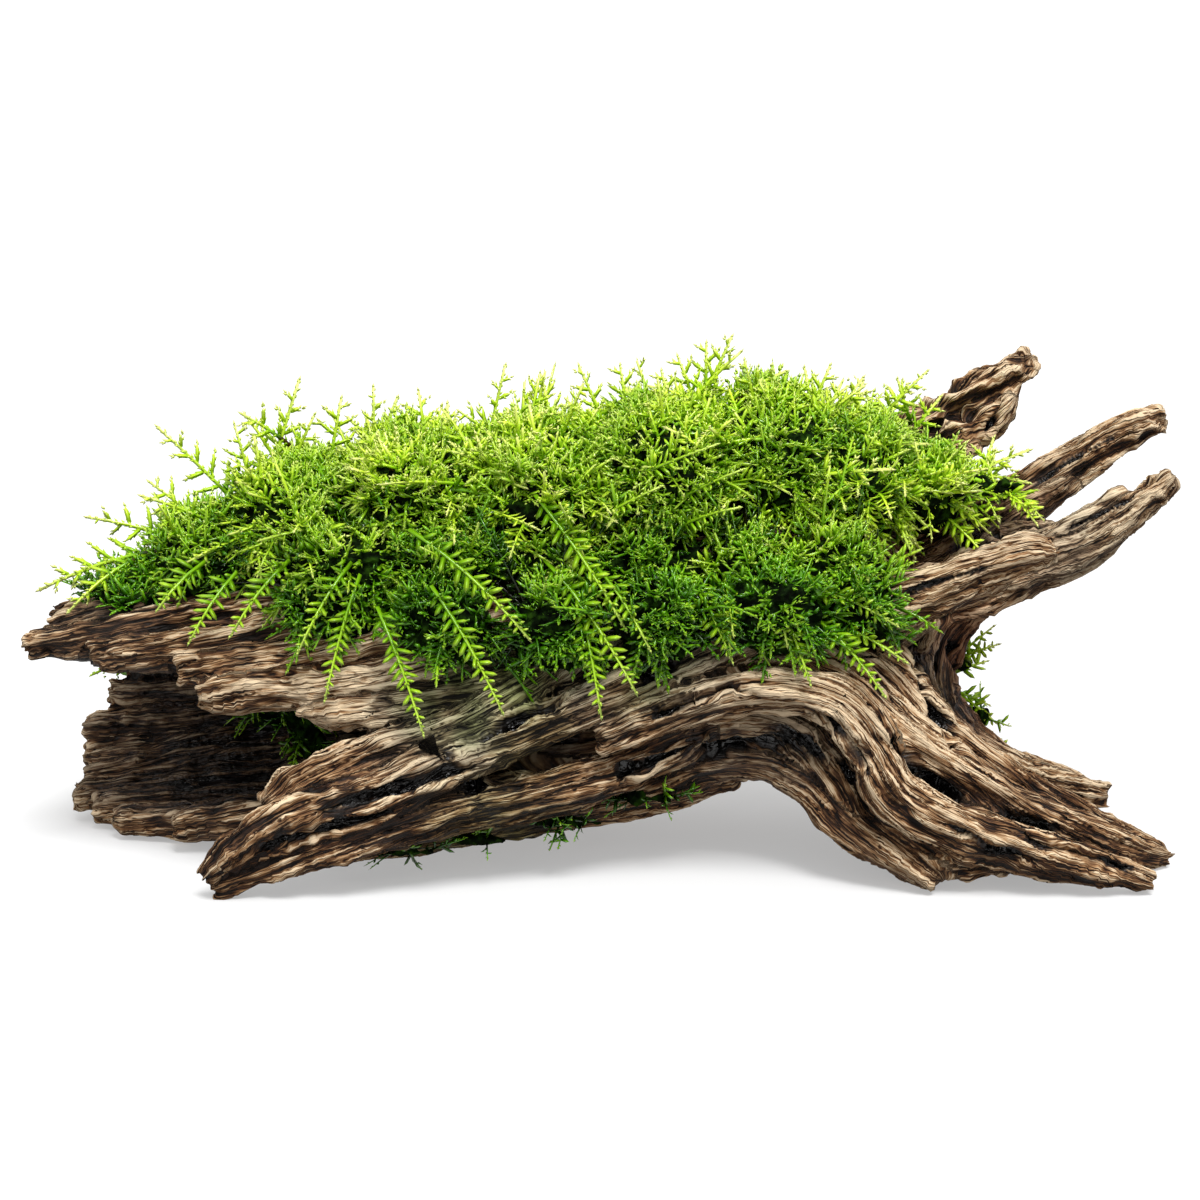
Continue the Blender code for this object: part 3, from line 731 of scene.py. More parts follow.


# %% [markdown]
# Driftwood is root wood that water has leached and worn. Its ridges are dry, pale tan and matt. Its grooves
# hold tannin-dark, wet wood that shines, and their dark is partly painted shade. The grain shows as thin
# streaks along the fibres, about 0.5 mm wide. Cracks and pits are painted darker, partly as painted shade.

# %% Weathered driftwood
def make_driftwood():
    made = bpy.data.materials.new("weathered_driftwood")
    made.use_nodes = True
    tree = made.node_tree
    shader = tree.nodes["Principled BSDF"]

    def streaks(along, over, detail):
        """Noise stretched along the grain, from millimetres along it and over it."""
        grain = attribute(tree, "grain", "Vector")
        size = (1 / along, 1 / over, 1.0)
        stretched = add_node(tree, "ShaderNodeVectorMath", {"operation": "MULTIPLY"}, _0=grain, _1=size)
        return add_node(
            tree, "ShaderNodeTexNoise", Vector=stretched.outputs[0], Scale=1.0, Detail=detail, Roughness=0.6
        ).outputs["Fac"]

    def sum_of(*parts):
        """The sum of parts, each a socket and its weight."""
        total = 0.0
        for socket, weight in parts:
            total = add_node(
                tree, "ShaderNodeMath", {"operation": "MULTIPLY_ADD"}, _0=socket, _1=weight, _2=total
            ).outputs[0]
        return total

    def line_of(pattern, half_width):
        """A thin line where a pattern crosses its middle, 1 on the line and 0 beside it."""
        middle = add_node(tree, "ShaderNodeMath", {"operation": "SUBTRACT"}, _0=pattern, _1=0.5)
        middle = add_node(tree, "ShaderNodeMath", {"operation": "ABSOLUTE"}, _0=middle.outputs[0])
        return add_node(
            tree, "ShaderNodeMapRange", Value=middle.outputs[0], _1=0.0, _2=half_width, _3=1.0, _4=0.0
        ).outputs[0]

    broad, lines, hairs = streaks(40, 6, 2.0), streaks(16, 0.8, 3.0), streaks(7, 0.3, 2.0)
    crack, fine_crack = line_of(streaks(30, 2.6, 2.0), 0.035), line_of(streaks(14, 1.3, 2.0), 0.05)
    pits = add_node(tree, "ShaderNodeMapRange", Value=streaks(3.2, 0.9, 1.0), _1=0.68, _2=0.74).outputs[0]
    # Ridges paler and grooves darker, partly painted shade, and faces that look up painted lighter.
    ridge_and_shade_value = attribute(tree, "ridge_and_groove_shade")
    # Cracks and pits lower the lightness: partly painted shade in them.
    light = sum_of(
        (ridge_and_shade_value, 0.85), (broad, 0.5), (lines, 1.7), (hairs, 1.3),
        (crack, -0.42), (fine_crack, -0.32), (pits, -0.4), (1.0, -1.51),
    )
    dry_stops = ((0.05, "#140A04"), (0.25, "#3A2213"), (0.45, "#6E4B2E"), (0.65, "#A57F58"), (0.92, "#E4CBA8"))
    dry = ramp_node(tree, light, dry_stops)
    red = ramp_node(tree, light, ((0.1, "#140A06"), (0.35, "#3C2115"), (0.6, "#70432B"), (0.9, "#A06C4A")))
    grey = ramp_node(tree, light, ((0.1, "#1A150F"), (0.4, "#574C3D"), (0.65, "#8E816B"), (0.9, "#C8BCA2")))
    green = ramp_node(tree, light, ((0.1, "#0F1207"), (0.45, "#3F4A1E"), (0.8, "#7E8C48")))
    # Dark wet wood, which also paints the shade of grooves, crevices and the hollow.
    dark = ramp_node(tree, light, ((0.2, "#080605"), (0.55, "#1A120E"), (0.9, "#5A4634")))
    colour = mixed(tree, attribute(tree, "grey"), dry, grey)
    colour = mixed(tree, attribute(tree, "red"), colour, red)
    half_green = add_node(tree, "ShaderNodeMath", {"operation": "MULTIPLY"}, _0=attribute(tree, "green"), _1=0.7)
    colour = mixed(tree, half_green.outputs[0], colour, green)
    colour = mixed(tree, attribute(tree, "wet"), colour, dark)
    # Near black in the crevices: painted shade.
    colour = mixed(tree, attribute(tree, "crevice_shade"), colour, linear("#070403"))
    tree.links.new(colour, shader.inputs["Base Color"])
    gloss = add_node(tree, "ShaderNodeMapRange", Value=attribute(tree, "wet"), _3=0.82, _4=0.2)
    tree.links.new(gloss.outputs[0], shader.inputs["Roughness"])
    shine = add_node(tree, "ShaderNodeMapRange", Value=attribute(tree, "wet"), _3=0.2, _4=0.5)
    tree.links.new(shine.outputs[0], shader.inputs["Specular IOR Level"])
    spots = add_node(tree, "ShaderNodeTexCoord").outputs["Object"]
    beads = add_node(tree, "ShaderNodeTexNoise", Vector=spots, Scale=700.0, Detail=1.0).outputs["Fac"]
    wet_beads = add_node(tree, "ShaderNodeMath", {"operation": "MULTIPLY"}, _0=beads, _1=attribute(tree, "wet"))
    height = sum_of(
        (wet_beads.outputs[0], 1.1), (lines, 0.9), (hairs, 0.5), (broad, 0.4),
        (crack, -0.8), (fine_crack, -0.3), (pits, -0.9),
    )
    bump = add_node(tree, "ShaderNodeBump", Strength=1.0, Distance=0.001, Height=height)
    tree.links.new(bump.outputs[0], shader.inputs["Normal"])
    return made


driftwood = make_driftwood()
print("made", driftwood.name)

# %% [markdown]
# The wood is one thing, but the model names its limbs, parted at the main forks. The skin is cut along the same
# blocks. Normals are kept from the uncut skin, so that no seam shows, and the cuts are closed inside.

# %% Part the wood at its forks
FORKS = (
    ("stub", (76, 37, 86), (0.70, 0.0, 0.71), 60, 20, 20),
    ("branch_rear", (84, 30, 68), (0.84, 0.06, 0.54), 80, 18.5, 16),
    ("branch_middle", (84, 1.5, 62), (0.88, 0.0, 0.47), 80, 9.5, 15),
    ("branch_front", (62, -23, 62), (0.93, -0.02, 0.36), 70, 14.5, 11),
    ("back_root", (96, 30, 44), (0.26, 0.0, -0.97), 90, 33, 38),
    ("arch_leg", (50, -36, 36), (0.86, 0.0, -0.51), 120, 33, 32),
    ("front_root", (-33, -56, 24), (-0.925, 0.0, -0.38), 100, 26, 24),
)
TRUNK_CUTS = (-82, -28, 22)  # x where the trunk's skin is cut, to keep each piece light


def in_block(points, fork):
    """Which points lie in the block of a fork."""
    name, point, way, length, wide, high = fork
    ahead = Vector(way).normalized()
    side = Vector((0, 1, 0))
    side = (side - ahead * side.dot(ahead)).normalized()
    offset = points - np.array(point)
    run = offset @ np.array(ahead)
    across = abs(offset @ np.array(side))
    rise = abs(offset @ np.array(ahead.cross(side)))
    return (run > 0) & (run < length) & (across < wide) & (rise < high)


def part_wood(skin):
    """Objects for the limbs and the stretches of the trunk, cut from the skin by the place of each face."""
    faces = len(skin.polygons)
    centres = np.empty(faces * 3, np.float32)
    skin.polygons.foreach_get("center", centres)
    centres = centres.reshape(-1, 3).astype(float)
    owner = np.full(faces, -1)
    for number, fork in enumerate(FORKS):
        owner[(owner < 0) & in_block(centres, fork)] = number
    trunk = owner < 0
    owner[trunk] = len(FORKS) + np.searchsorted(TRUNK_CUTS, centres[trunk, 0])
    names = [fork[0] for fork in FORKS] + [f"trunk_{number}" for number in range(len(TRUNK_CUTS) + 1)]
    kept = skin.attributes.new("kept_normal", "FLOAT_VECTOR", "POINT")
    kept.data.foreach_set("vector", vertex_normals(skin).astype(np.float32).ravel())
    made = {}
    for number, name in enumerate(names):
        bm = bmesh.new()
        bm.from_mesh(skin)
        bm.faces.ensure_lookup_table()
        others = [bm.faces[i] for i in np.flatnonzero(owner != number)]
        bmesh.ops.delete(bm, geom=others, context="FACES")
        rims = [edge for edge in bm.edges if edge.is_boundary]
        caps = bmesh.ops.holes_fill(bm, edges=rims)["faces"]
        bmesh.ops.triangulate(bm, faces=caps)
        mesh = bpy.data.meshes.new(name)
        bm.to_mesh(mesh)
        bm.free()
        mesh.transform(Matrix.Scale(MM, 4) @ Matrix.Translation(-Vector(MIDDLE)))
        mesh.shade_smooth()
        normal = np.empty(len(mesh.vertices) * 3, np.float32)
        mesh.attributes["kept_normal"].data.foreach_get("vector", normal)
        mesh.normals_split_custom_set_from_vertices(normal.reshape(-1, 3).tolist())
        mesh.attributes.remove(mesh.attributes["kept_normal"])
        mesh.materials.clear()
        mesh.materials.append(driftwood)
        made[name] = mesh_object(name + "_skin", mesh)
        print(name, len(mesh.polygons), "faces")
    return made


limbs = part_wood(wood.data)
bpy.data.objects.remove(wood, do_unlink=True)
for name, limb in limbs.items():
    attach(limb, "root")
    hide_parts("trunk" if name.startswith("trunk") else name)

# %% [markdown]
# The moss grows in cushions. The solid model shows each as a plain lump that reaches the tips of the shoots. The
# shoots root well inside that, on a dark core of old growth, so the core is made of the same lumps, shrunk. Its
# near-black green is partly painted shade deep in the cushion.
# Each lump is (x, y, z, half length, half depth, half height).

# %% Lumps of moss
CUSHION_LUMPS = (
    (-112, -2, 62, 20, 18, 8),
    (-92, 0, 70, 26, 26, 16),
    (-72, 2, 79, 26, 30, 22),
    (-45, 2, 84, 28, 34, 25),
    (-15, 2, 85, 30, 36, 26),
    (15, 4, 88, 30, 37, 27),
    (42, 6, 91, 26, 36, 27),
    (62, 8, 88, 22, 32, 24),
    (80, 12, 84, 16, 22, 15),
    (97, 10, 86, 14, 8, 7),
    (-62, -26, 62, 22, 12, 14),
    (-36, -32, 60, 18, 12, 16),
    (-10, -34, 60, 18, 12, 16),
    (14, -35, 62, 18, 11, 15),
    (40, -34, 64, 20, 12, 15),
    (60, -28, 64, 16, 12, 14),
    (-60, 30, 60, 34, 13, 18),
    (-10, 34, 64, 36, 13, 20),
    (34, 36, 70, 28, 12, 18),
)
BRIDGE_LUMPS = tuple((x, -23, 72, 24, 12, 13) for x in (-60, -36, -12, 12, 36, 54))  # between the two rows in front
HOLLOW_LUMPS = ((-86, -2, 43, 9, 8, 8), (-76, 0, 36, 9, 9, 13), (-72, -2, 26, 7, 7, 10), (-82, 4, 31, 8, 8, 7))
BELLY_LUMPS = ((-46, -40, 8, 12, 4, 4), (-28, -36, 10, 14, 4, 4), (-8, -32, 13, 14, 4, 4), (10, -29, 18, 12, 4, 4))
DRAPE_LUMPS = ((-122, 36, 40, 11, 8, 9), (-112, 39, 30, 15, 8, 10), (-94, 40, 24, 16, 8, 9))
COLUMN_LUMPS = ((93, 31, 52, 8, 6, 6), (94, 31, 36, 8, 6, 7), (98, 31, 22, 8, 6, 6))
CORE_VOXEL = 1.6


def core_of(name, lumps, inset):
    """The old growth in the middle of a cushion: the lumps shrunk by the inset, fused and roughened."""
    bm = bmesh.new()
    for x, y, z, *halves in lumps:
        shrunk = [max(half - inset, (0.6 if inset < 9 or half > 9 else 0.35) * half) for half in halves]
        place = Matrix.Translation((x, y, z)) @ Matrix.Diagonal((*shrunk, 1))
        bmesh.ops.create_icosphere(bm, subdivisions=3, radius=1, matrix=place)
    mesh = bpy.data.meshes.new(name)
    bm.to_mesh(mesh)
    bm.free()
    core = fused(mesh, name, CORE_VOXEL)
    places = positions(core.data)
    rough = noise_at(places[:, 0] / 4, places[:, 1] / 4, places[:, 2] / 4) * 2.4
    rough += noise_at(places[:, 0] / 1.9, places[:, 1] / 1.9, places[:, 2] / 1.9) * 1.6
    places += vertex_normals(core.data) * rough[:, None]
    core.data.vertices.foreach_set("co", places.astype(np.float32).ravel())
    core.data.update()
    return core


# %% [markdown]
# A moss leaf is a tiny pointed boat, a millimetre or two long. Four triangles are enough: a base, a tip and two
# lifted edges, closed underneath, so that it looks right from both sides and throws small glints. Young wet
# branchlets have their leaves pressed flat, and read as one long blade with a keel. That takes twelve.

# %% One leaf and one blade
def shape_of(points, faces):
    """Points and triangles of a small closed shape with its faces turned outward."""
    bm = bmesh.new()
    corners = [bm.verts.new(point) for point in points]
    for face in faces:
        bm.faces.new([corners[i] for i in face])
    bmesh.ops.triangulate(bm, faces=bm.faces[:])
    bmesh.ops.recalc_face_normals(bm, faces=bm.faces[:])
    bm.verts.index_update()
    made = np.array([vertex.co[:] for vertex in bm.verts]), np.array([[v.index for v in f.verts] for f in bm.faces])
    bm.free()
    return made


# Length 1 along z, width 1 across x, and the upper face towards y.
LEAF = shape_of(
    ((0, 0, 0), (0.5, 0.25, 0.3), (-0.5, 0.25, 0.3), (0, 0.2, 1)),
    ((0, 1, 2), (1, 3, 2), (0, 3, 1), (0, 2, 3)),
)
BLADE = shape_of(
    (
        (0, 0, 0),
        (-0.4, 0.12, 0.16), (0.4, 0.12, 0.16), (0, -0.2, 0.16),
        (-0.42, 0.5, 0.7), (0.42, 0.5, 0.7), (0, 0.15, 0.7),
        (0, 0.95, 1),
    ),
    ((0, 2, 1), (0, 1, 3), (0, 3, 2), (1, 2, 5, 4), (1, 4, 6, 3), (2, 3, 6, 5), (4, 5, 7), (4, 7, 6), (5, 6, 7)),
)
print("a leaf has", len(LEAF[1]), "triangles and a blade", len(BLADE[1]))

# %% [markdown]
# A shoot is a stem with pairs of leaves, and with branchlets that carry leaves of their own, set left and right
# like a feather's. Its stem runs up z, its branchlets spread along x, and y is its upper face. Each leaf is one
# row: base, direction, upper face, length, width and tone. Tone runs from 0, old and dark, to 1, young and bright.

# %% Shoots
STEM_STEP = 4.0
Z = np.array([0.0, 0.0, 1.0])


def leaf_pairs(start, way, across, face, run, leaf, width, angle, pitch, tones):
    """Rows for pairs of leaves along a straight stretch of stem, with one at its end."""
    count = max(1, int(run / pitch))
    at = np.repeat((np.arange(count) + 0.5) * run / count, 2)
    side = np.tile([-1.0, 1.0], count)
    at = np.minimum(at + (side > 0) * 0.4 * pitch + rng.normal(0, 0.12 * pitch, len(at)), run)
    turn = np.radians(rng.normal(angle, 7, len(at))) * (1 - 0.25 * at / run)
    ways = way * np.cos(turn)[:, None] + across * (side * np.sin(turn))[:, None]
    ways += face * rng.normal(0.12, 0.28, len(at))[:, None]
    size = leaf * rng.uniform(0.75, 1.2, len(at)) * (1 - 0.45 * (at / run) ** 3)
    rows = np.column_stack((
        start + way * at[:, None],
        ways,
        np.repeat([face], len(at), 0),
        size,
        np.full(len(at), width) * rng.uniform(0.85, 1.15, len(at)),
        tones[0] + (tones[1] - tones[0]) * at / run,
    ))
    end = np.concatenate((start + way * (run - 0.2), way, face, [leaf * 0.9, width * 0.9, tones[1] + 0.05]))
    return np.vstack((rows, end))


def dressed(rows, shape, gain):
    """The rows as copies of the shape: points, triangles, and tones that gain towards each tip."""
    points, triangles = shape
    ways = rows[:, 3:6] / np.linalg.norm(rows[:, 3:6], axis=1)[:, None]
    across = np.cross(rows[:, 6:9], ways)
    across /= np.linalg.norm(across, axis=1)[:, None]
    face = np.cross(ways, across)
    placed = (
        rows[:, None, :3]
        + points[None, :, 2:3] * (ways * rows[:, 9:10])[:, None]
        + points[None, :, 0:1] * (across * rows[:, 10:11])[:, None]
        + points[None, :, 1:2] * (face * rows[:, 10:11])[:, None]
    )
    starts = np.arange(len(rows)) * len(points)
    tones = rows[:, 11:12] + gain * points[None, :, 2]
    return placed.reshape(-1, 3), (triangles[None] + starts[:, None, None]).reshape(-1, 3), tones.ravel()


LEAF_ANGLE = 40


def shoot(length, stem, branch_pitch, branch_run, blade, leaf, leaf_pitch, fan, fringed, foot):
    """Points, triangles and tones of one straight shoot. Its branchlets are blades, fringed with leaves or bare."""
    x, y = np.array([1.0, 0.0, 0.0]), np.array([0.0, 1.0, 0.0])
    leaves = (leaf, 0.42 * leaf, LEAF_ANGLE, leaf_pitch)
    rows = [leaf_pairs(0.12 * length * Z, Z, x, y, 0.88 * length, *leaves, (0.3, 1.0))]
    blades = []
    at, side = 0.08 * length, rng.choice((-1, 1))
    while at < length - 1.5:
        share = at / length
        run = branch_run * (1 - share) ** 0.5 * min(1, 0.5 + 2 * share) * rng.uniform(0.65, 1.2)
        turn = math.radians(rng.normal(56, 8))
        roll = rng.normal(0, fan)
        out = x * side * math.cos(roll) + y * math.sin(roll)
        way = Z * math.cos(turn) + out * math.sin(turn)
        across = out * math.cos(turn) - Z * math.sin(turn)
        face = np.cross(way, across) * side
        tone = 0.15 + 0.5 * share
        size = [run, min(blade * rng.uniform(0.85, 1.15), 0.3 * run + 0.2), tone]
        blades.append(np.concatenate((at * Z, way, face, size)))
        if fringed and run > 2:
            rows.append(leaf_pairs(at * Z, way, across, face, run, *leaves, (tone + 0.1, tone + 0.45)))
        at += branch_pitch * rng.uniform(0.75, 1.25)
        side = -side
    steps = np.linspace(0, length, max(3, int(length / STEM_STEP)))
    stem_rows = np.column_stack((steps * 0, steps * 0, steps, stem * (0.5 - 0.25 * steps / length)))
    stem_points, stem_triangles = tube(stem_rows, 3, ())
    shares = stem_points[:, 2] / length
    stem_tone = np.where(shares < 0.35, foot, 0.15 + 0.85 * shares)
    parts = (
        dressed(np.vstack(rows), LEAF, 0.15),
        dressed(np.array(blades), BLADE, 0.4),
        (stem_points, stem_triangles, stem_tone),
    )
    points, triangles = joined([part[:2] for part in parts])
    return points, triangles, np.concatenate([part[2] for part in parts])


def shoots(kind):
    """A dozen and a half shoots of one kind, from short to long."""
    return [(length, *shoot(length, **kind)) for length in np.linspace(8, 34, 18)]


# What sets one kind of shoot apart, in mm: the width of its stem, how far apart its branchlets are and how long,
# how wide a branchlet's blade is, how long its leaves are and how far apart, how far the branchlets fan out of
# the plane, whether leaves fringe them, and the tone of the stem's foot.
KIND_PARTS = ("stem", "branch_pitch", "branch_run", "blade", "leaf", "leaf_pitch", "fan", "fringed", "foot")
KIND_SIZES = {
    "sprig": (1.5, 2.4, 7.5, 1.15, 1.6, 1.6, 0.4, True, -0.1),
    "plume": (1.2, 1.8, 5.8, 1.15, 1.5, 1.7, 0.3, True, 0.2),
    "fir": (1.2, 1.1, 5.2, 1.25, 1.6, 2.6, 0.35, False, 0.4),
    "bushy": (0.9, 1.6, 5.2, 1.5, 2.2, 3.0, 0.9, False, 0.2),
    "wisp": (0.6, 2.4, 3.6, 0.8, 1.2, 1.8, 0.5, False, 0.1),
}
KINDS = {name: shoots(dict(zip(KIND_PARTS, sizes))) for name, sizes in KIND_SIZES.items()}
for name, made in KINDS.items():
    print(name, "shoots have", len(made[0][2]), "to", len(made[-1][2]), "triangles")

# %% [markdown]
# A shoot is planted by bending it. It starts in its own direction and its weight pulls it over, so the direction
# turns towards the ground along the way. Every point then moves with the bit of stem that it hangs on.

# %% Plant a shoot
BEND_STEPS = 10


def bent(length, points, root, way, face, droop):
    """The points of a straight shoot, carried to its root and bent over by its weight."""
    steps = np.linspace(0, 1.12, BEND_STEPS)
    ways = np.array(way) - np.outer(droop * steps, Z)
    ways /= np.linalg.norm(ways, axis=1)[:, None]
    gaps = (ways[1:] + ways[:-1]) / 2 * (steps[1] - steps[0]) * length
    centres = np.vstack((root, root + np.cumsum(gaps, axis=0)))
    across = np.cross(face, ways)
    across /= np.linalg.norm(across, axis=1)[:, None]
    faces = np.cross(ways, across)
    at = np.clip(points[:, 2] / length, 0, 1.12) * (BEND_STEPS - 1) / 1.12
    low = np.minimum(at.astype(int), BEND_STEPS - 2)
    part = (at - low)[:, None]

    def along(rows):
        return rows[low] * (1 - part) + rows[low + 1] * part

    return along(centres) + along(across) * points[:, :1] + along(faces) * points[:, 1:2]


# %% [markdown]
# Shoots must not run into the wood. A search tree of the solids answers whether a point is inside the wood, and
# another says how far the moss may reach, since the solid cushion is the form that the tips fill.

# %% Search trees of the solids
def solid_tree(names):
    """A search tree of the named solids, in sketch millimetres."""
    corners, faces = [], []
    for name in names:
        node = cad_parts[name]
        node.data.calc_loop_triangles()
        start = len(corners)
        corners += [tuple((node.matrix_world @ v.co) / MM + Vector(MIDDLE)) for v in node.data.vertices]
        faces += [tuple(start + i for i in face.vertices) for face in node.data.loop_triangles]
    return BVHTree.FromPolygons(corners, faces)


WOOD_NODES = ("trunk", "front_root", "arch_leg", "back_root", "branch_front", "branch_middle", "branch_rear", "stub")
wood_tree = solid_tree(WOOD_NODES)


def in_wood(point, allowed=0.5):
    """Whether a point lies deeper in the wood than allowed."""
    place, normal, _, distance = wood_tree.find_nearest(Vector(point))
    return distance > allowed and (Vector(point) - place).dot(normal) < 0


# %% [markdown]
# Roots are spread over the core by area. Shoots on top stand up, shoots at the sides lean out and hang, and each
# is about as long as it needs to be to reach the form of the cushion. Real moss isn't even, though: shoots
# gather in mounds, long and bright in the middle, and short and dark where two mounds meet; that dark is
# painted shade. The higher a shoot roots, the brighter it is painted, partly as painted light from above.

# %% Plant a cushion
LOWEST, TALLEST = 1.5, 124  # z between which stems stay
# Shoots are painted brighter the higher they root, partly as painted light from above.
BRIGHT_BOTTOM, BRIGHT_TOP = 62, 82  # z where shoots are dull and where they are bright
LOW_SHADE = 0.22  # tone that the lowest shoots lose, in the shade of those above
SUNK_SHADE = 0.045  # tone that a shoot loses for each mm that its tip stays below the form


def planted_shoot(kind, length, root, way, face, droop, bright, shade=0.0):
    """A shoot of the kind in its place, or None where it would run into the wood or reach too far."""
    choice = min(KINDS[kind], key=lambda made: abs(made[0] - length) + rng.uniform(0, 2))
    made_length, points, triangles, tones = choice
    scale = float(np.clip(length / made_length, 0.88, 1.15))
    made_length, points = made_length * scale, points * scale
    stem = np.outer((0.45, 0.75, 1.0), Z * made_length)
    stem = bent(made_length, stem, root, way, face, droop)
    if stem[:, 2].min() < LOWEST or stem[:, 2].max() > TALLEST or any(in_wood(point) for point in stem):
        return None
    tones = tones - shade
    return bent(made_length, points, root, way, face, droop), triangles, tones, float(np.clip(bright, 0, 1))


UNDER_SHARE = 0.45  # part of the shoots that stay short and dark, to close the gaps
CLUMP_PITCH = 16.0  # mm between the middles of the mounds that shoots gather in
CLUMP_TRIES = 900


def plant(name, core, count, top_kinds, side_kinds, depth, droops, lengths, bright):
    """Shoots over the core in clumps, each with points, triangles, tones and brightness."""
    form = solid_tree([name])
    core.data.calc_loop_triangles()
    corners = positions(core.data)
    faces = np.array([face.vertices[:] for face in core.data.loop_triangles])
    a, b, c = (corners[faces[:, i]] for i in range(3))
    areas = np.cumsum(np.linalg.norm(np.cross(b - a, c - a), axis=1))
    normals = vertex_normals(core.data)

    def spot():
        """A place on the core and the way out of it."""
        face = faces[np.searchsorted(areas, rng.uniform(0, areas[-1]))]
        share = rng.dirichlet((1, 1, 1))
        out = share @ normals[face]
        return share @ corners[face], out / np.linalg.norm(out)

    middles = []
    for _ in range(CLUMP_TRIES):
        place = spot()[0]
        if all(np.linalg.norm(place - other) > CLUMP_PITCH for other in middles):
            middles.append(place)
    middles = np.array(middles)
    planted = []
    tries = 0
    while len(planted) < count and tries < count * 4:
        tries += 1
        root, out = spot()
        if out[2] < -0.45:
            continue
        gaps = np.linalg.norm(middles - root, axis=1)
        offset = root - middles[gaps.argmin()]
        offset = offset - out * offset.dot(out)
        edge = min(float(gaps.min()) / (0.6 * CLUMP_PITCH), 1.2)
        level = 1 - max(out[2], 0)
        way = out + (0.45 - 0.45 * level) * Z + offset / CLUMP_PITCH + rng.normal(0, 0.2 + 0.1 * level, 3)
        way /= np.linalg.norm(way)
        hit = form.ray_cast(Vector(root), Vector(way))[3] or 8.0
        root = root - out * depth
        tall = edge < 0.7 and rng.uniform() < (0.06 if out[2] > 0.55 else 0.16)
        past = rng.uniform(3, 8) if tall else rng.uniform(-8, -1) - 6 * edge**2 + 6 * level
        length = float(np.clip(hit + depth + past, *lengths))
        under = not tall and rng.uniform() < UNDER_SHARE
        if under:
            length = lengths[0] * rng.uniform(0.8, 1.3)
        droop = rng.uniform(*droops) * (0.25 + level)
        kinds = top_kinds if out[2] > 0.55 else side_kinds
        bold = "sprig" if out[2] > 0.5 else "fir"
        kind = bold if tall else "bushy" if under else kinds[rng.integers(len(kinds))]
        height = min(max((root[2] - BRIGHT_BOTTOM) / (BRIGHT_TOP - BRIGHT_BOTTOM), 0), 1)
        # Brightness: partly painted light by height, painted shade where mounds meet, a random part, more if tall.
        light = bright + 0.9 * height - 0.45 * edge**2 + rng.uniform(-0.15, 0.15) + 0.25 * tall
        shade = SUNK_SHADE * min(max(hit + depth - length, 0), 12) + LOW_SHADE * (1 - height)
        face = out + 0.5 * Z + rng.normal(0, 0.35, 3)
        made = planted_shoot(kind, length, root, way, face, droop, light, shade)
        if made:
            planted.append(made)
    print(name, "has", len(planted), "shoots after", tries, "tries,", sum(len(p[1]) for p in planted), "triangles")
    return planted


# %% [markdown]
# Some shoots give the cushion its face: the tall ones that stand against the light, and the plumes that hang over
# the wood in front. They are placed one at a time, by where the stem leaves the cushion and where its tip is.
# Each row is (stem x, y, z, tip x, y, z, droop).

# %% Shoots placed one by one
TALL_SHOOTS = (
    (-109, -4, 71, -138, -7, 63, 0.5),
    (-104, 2, 74, -125, 0, 81, 0.3),
    (-114, -6, 69, -127, -18, 60, 0.7),
    (-89, 4, 83, -108, 6, 102, 0.15),
    (-95, 0, 79, -111, -4, 87, 0.25),
    (-98, 2, 79, -110, 3, 89, 0.2),
    (-85, 4, 87, -89, 4, 103, 0.05),
    (-82, 6, 86, -73, 6, 114, 0.05),
    (-77, 6, 98, -87, 3, 106, 0.3),
    (-76, 4, 91, -69, 0, 106, 0.1),
    (-66, 6, 93, -63, 6, 109, 0.05),
    (-55, 4, 90, -55, 4, 112, 0.0),
    (-56, 6, 92, -49, 1, 110, 0.1),
    (-37, 4, 93, -37, 4, 108, 0.0),
    (-25, 6, 98, -34, 1, 107, 0.3),
    (-28, 8, 95, -23, 6, 117, 0.05),
    (-21, 4, 91, -14, 0, 108, 0.1),
    (-14, 6, 92, -10, 6, 103, 0.0),
    (2, 6, 100, -5, 6, 117, 0.1),
    (4, 3, 97, -8, -1, 110, 0.2),
    (7, 6, 103, 5, 6, 117, 0.0),
    (18, 6, 102, 15, 4, 116, 0.05),
    (24, 8, 106, 19, 8, 119, 0.0),
    (26, 8, 108, 26, 9, 122, 0.0),
    (25, 8, 107, 32, 6, 124, 0.05),
    (39, 6, 102, 35, 2, 119, 0.05),
    (35, 8, 109, 45, 5, 116, 0.3),
    (51, 8, 103, 56, 6, 117, 0.05),
    (52, 8, 106, 50, 9, 116, 0.0),
    (57, 6, 103, 64, 6, 114, 0.1),
    (66, 14, 99, 80, 10, 115, 0.1),
    (76, 14, 104, 73, 11, 113, 0.0),
    (78, 14, 100, 84, 14, 108, 0.1),
    (82, 16, 83, 113, 18, 97, 0.15),
    (95, 18, 87, 98, 18, 97, 0.0),
    (90, 18, 87, 107, 16, 86, 0.4),
    (60, 2, 96, 79, -1, 99, 0.3),
    (42, -12, 90, 69, -18, 96, 0.3),
)
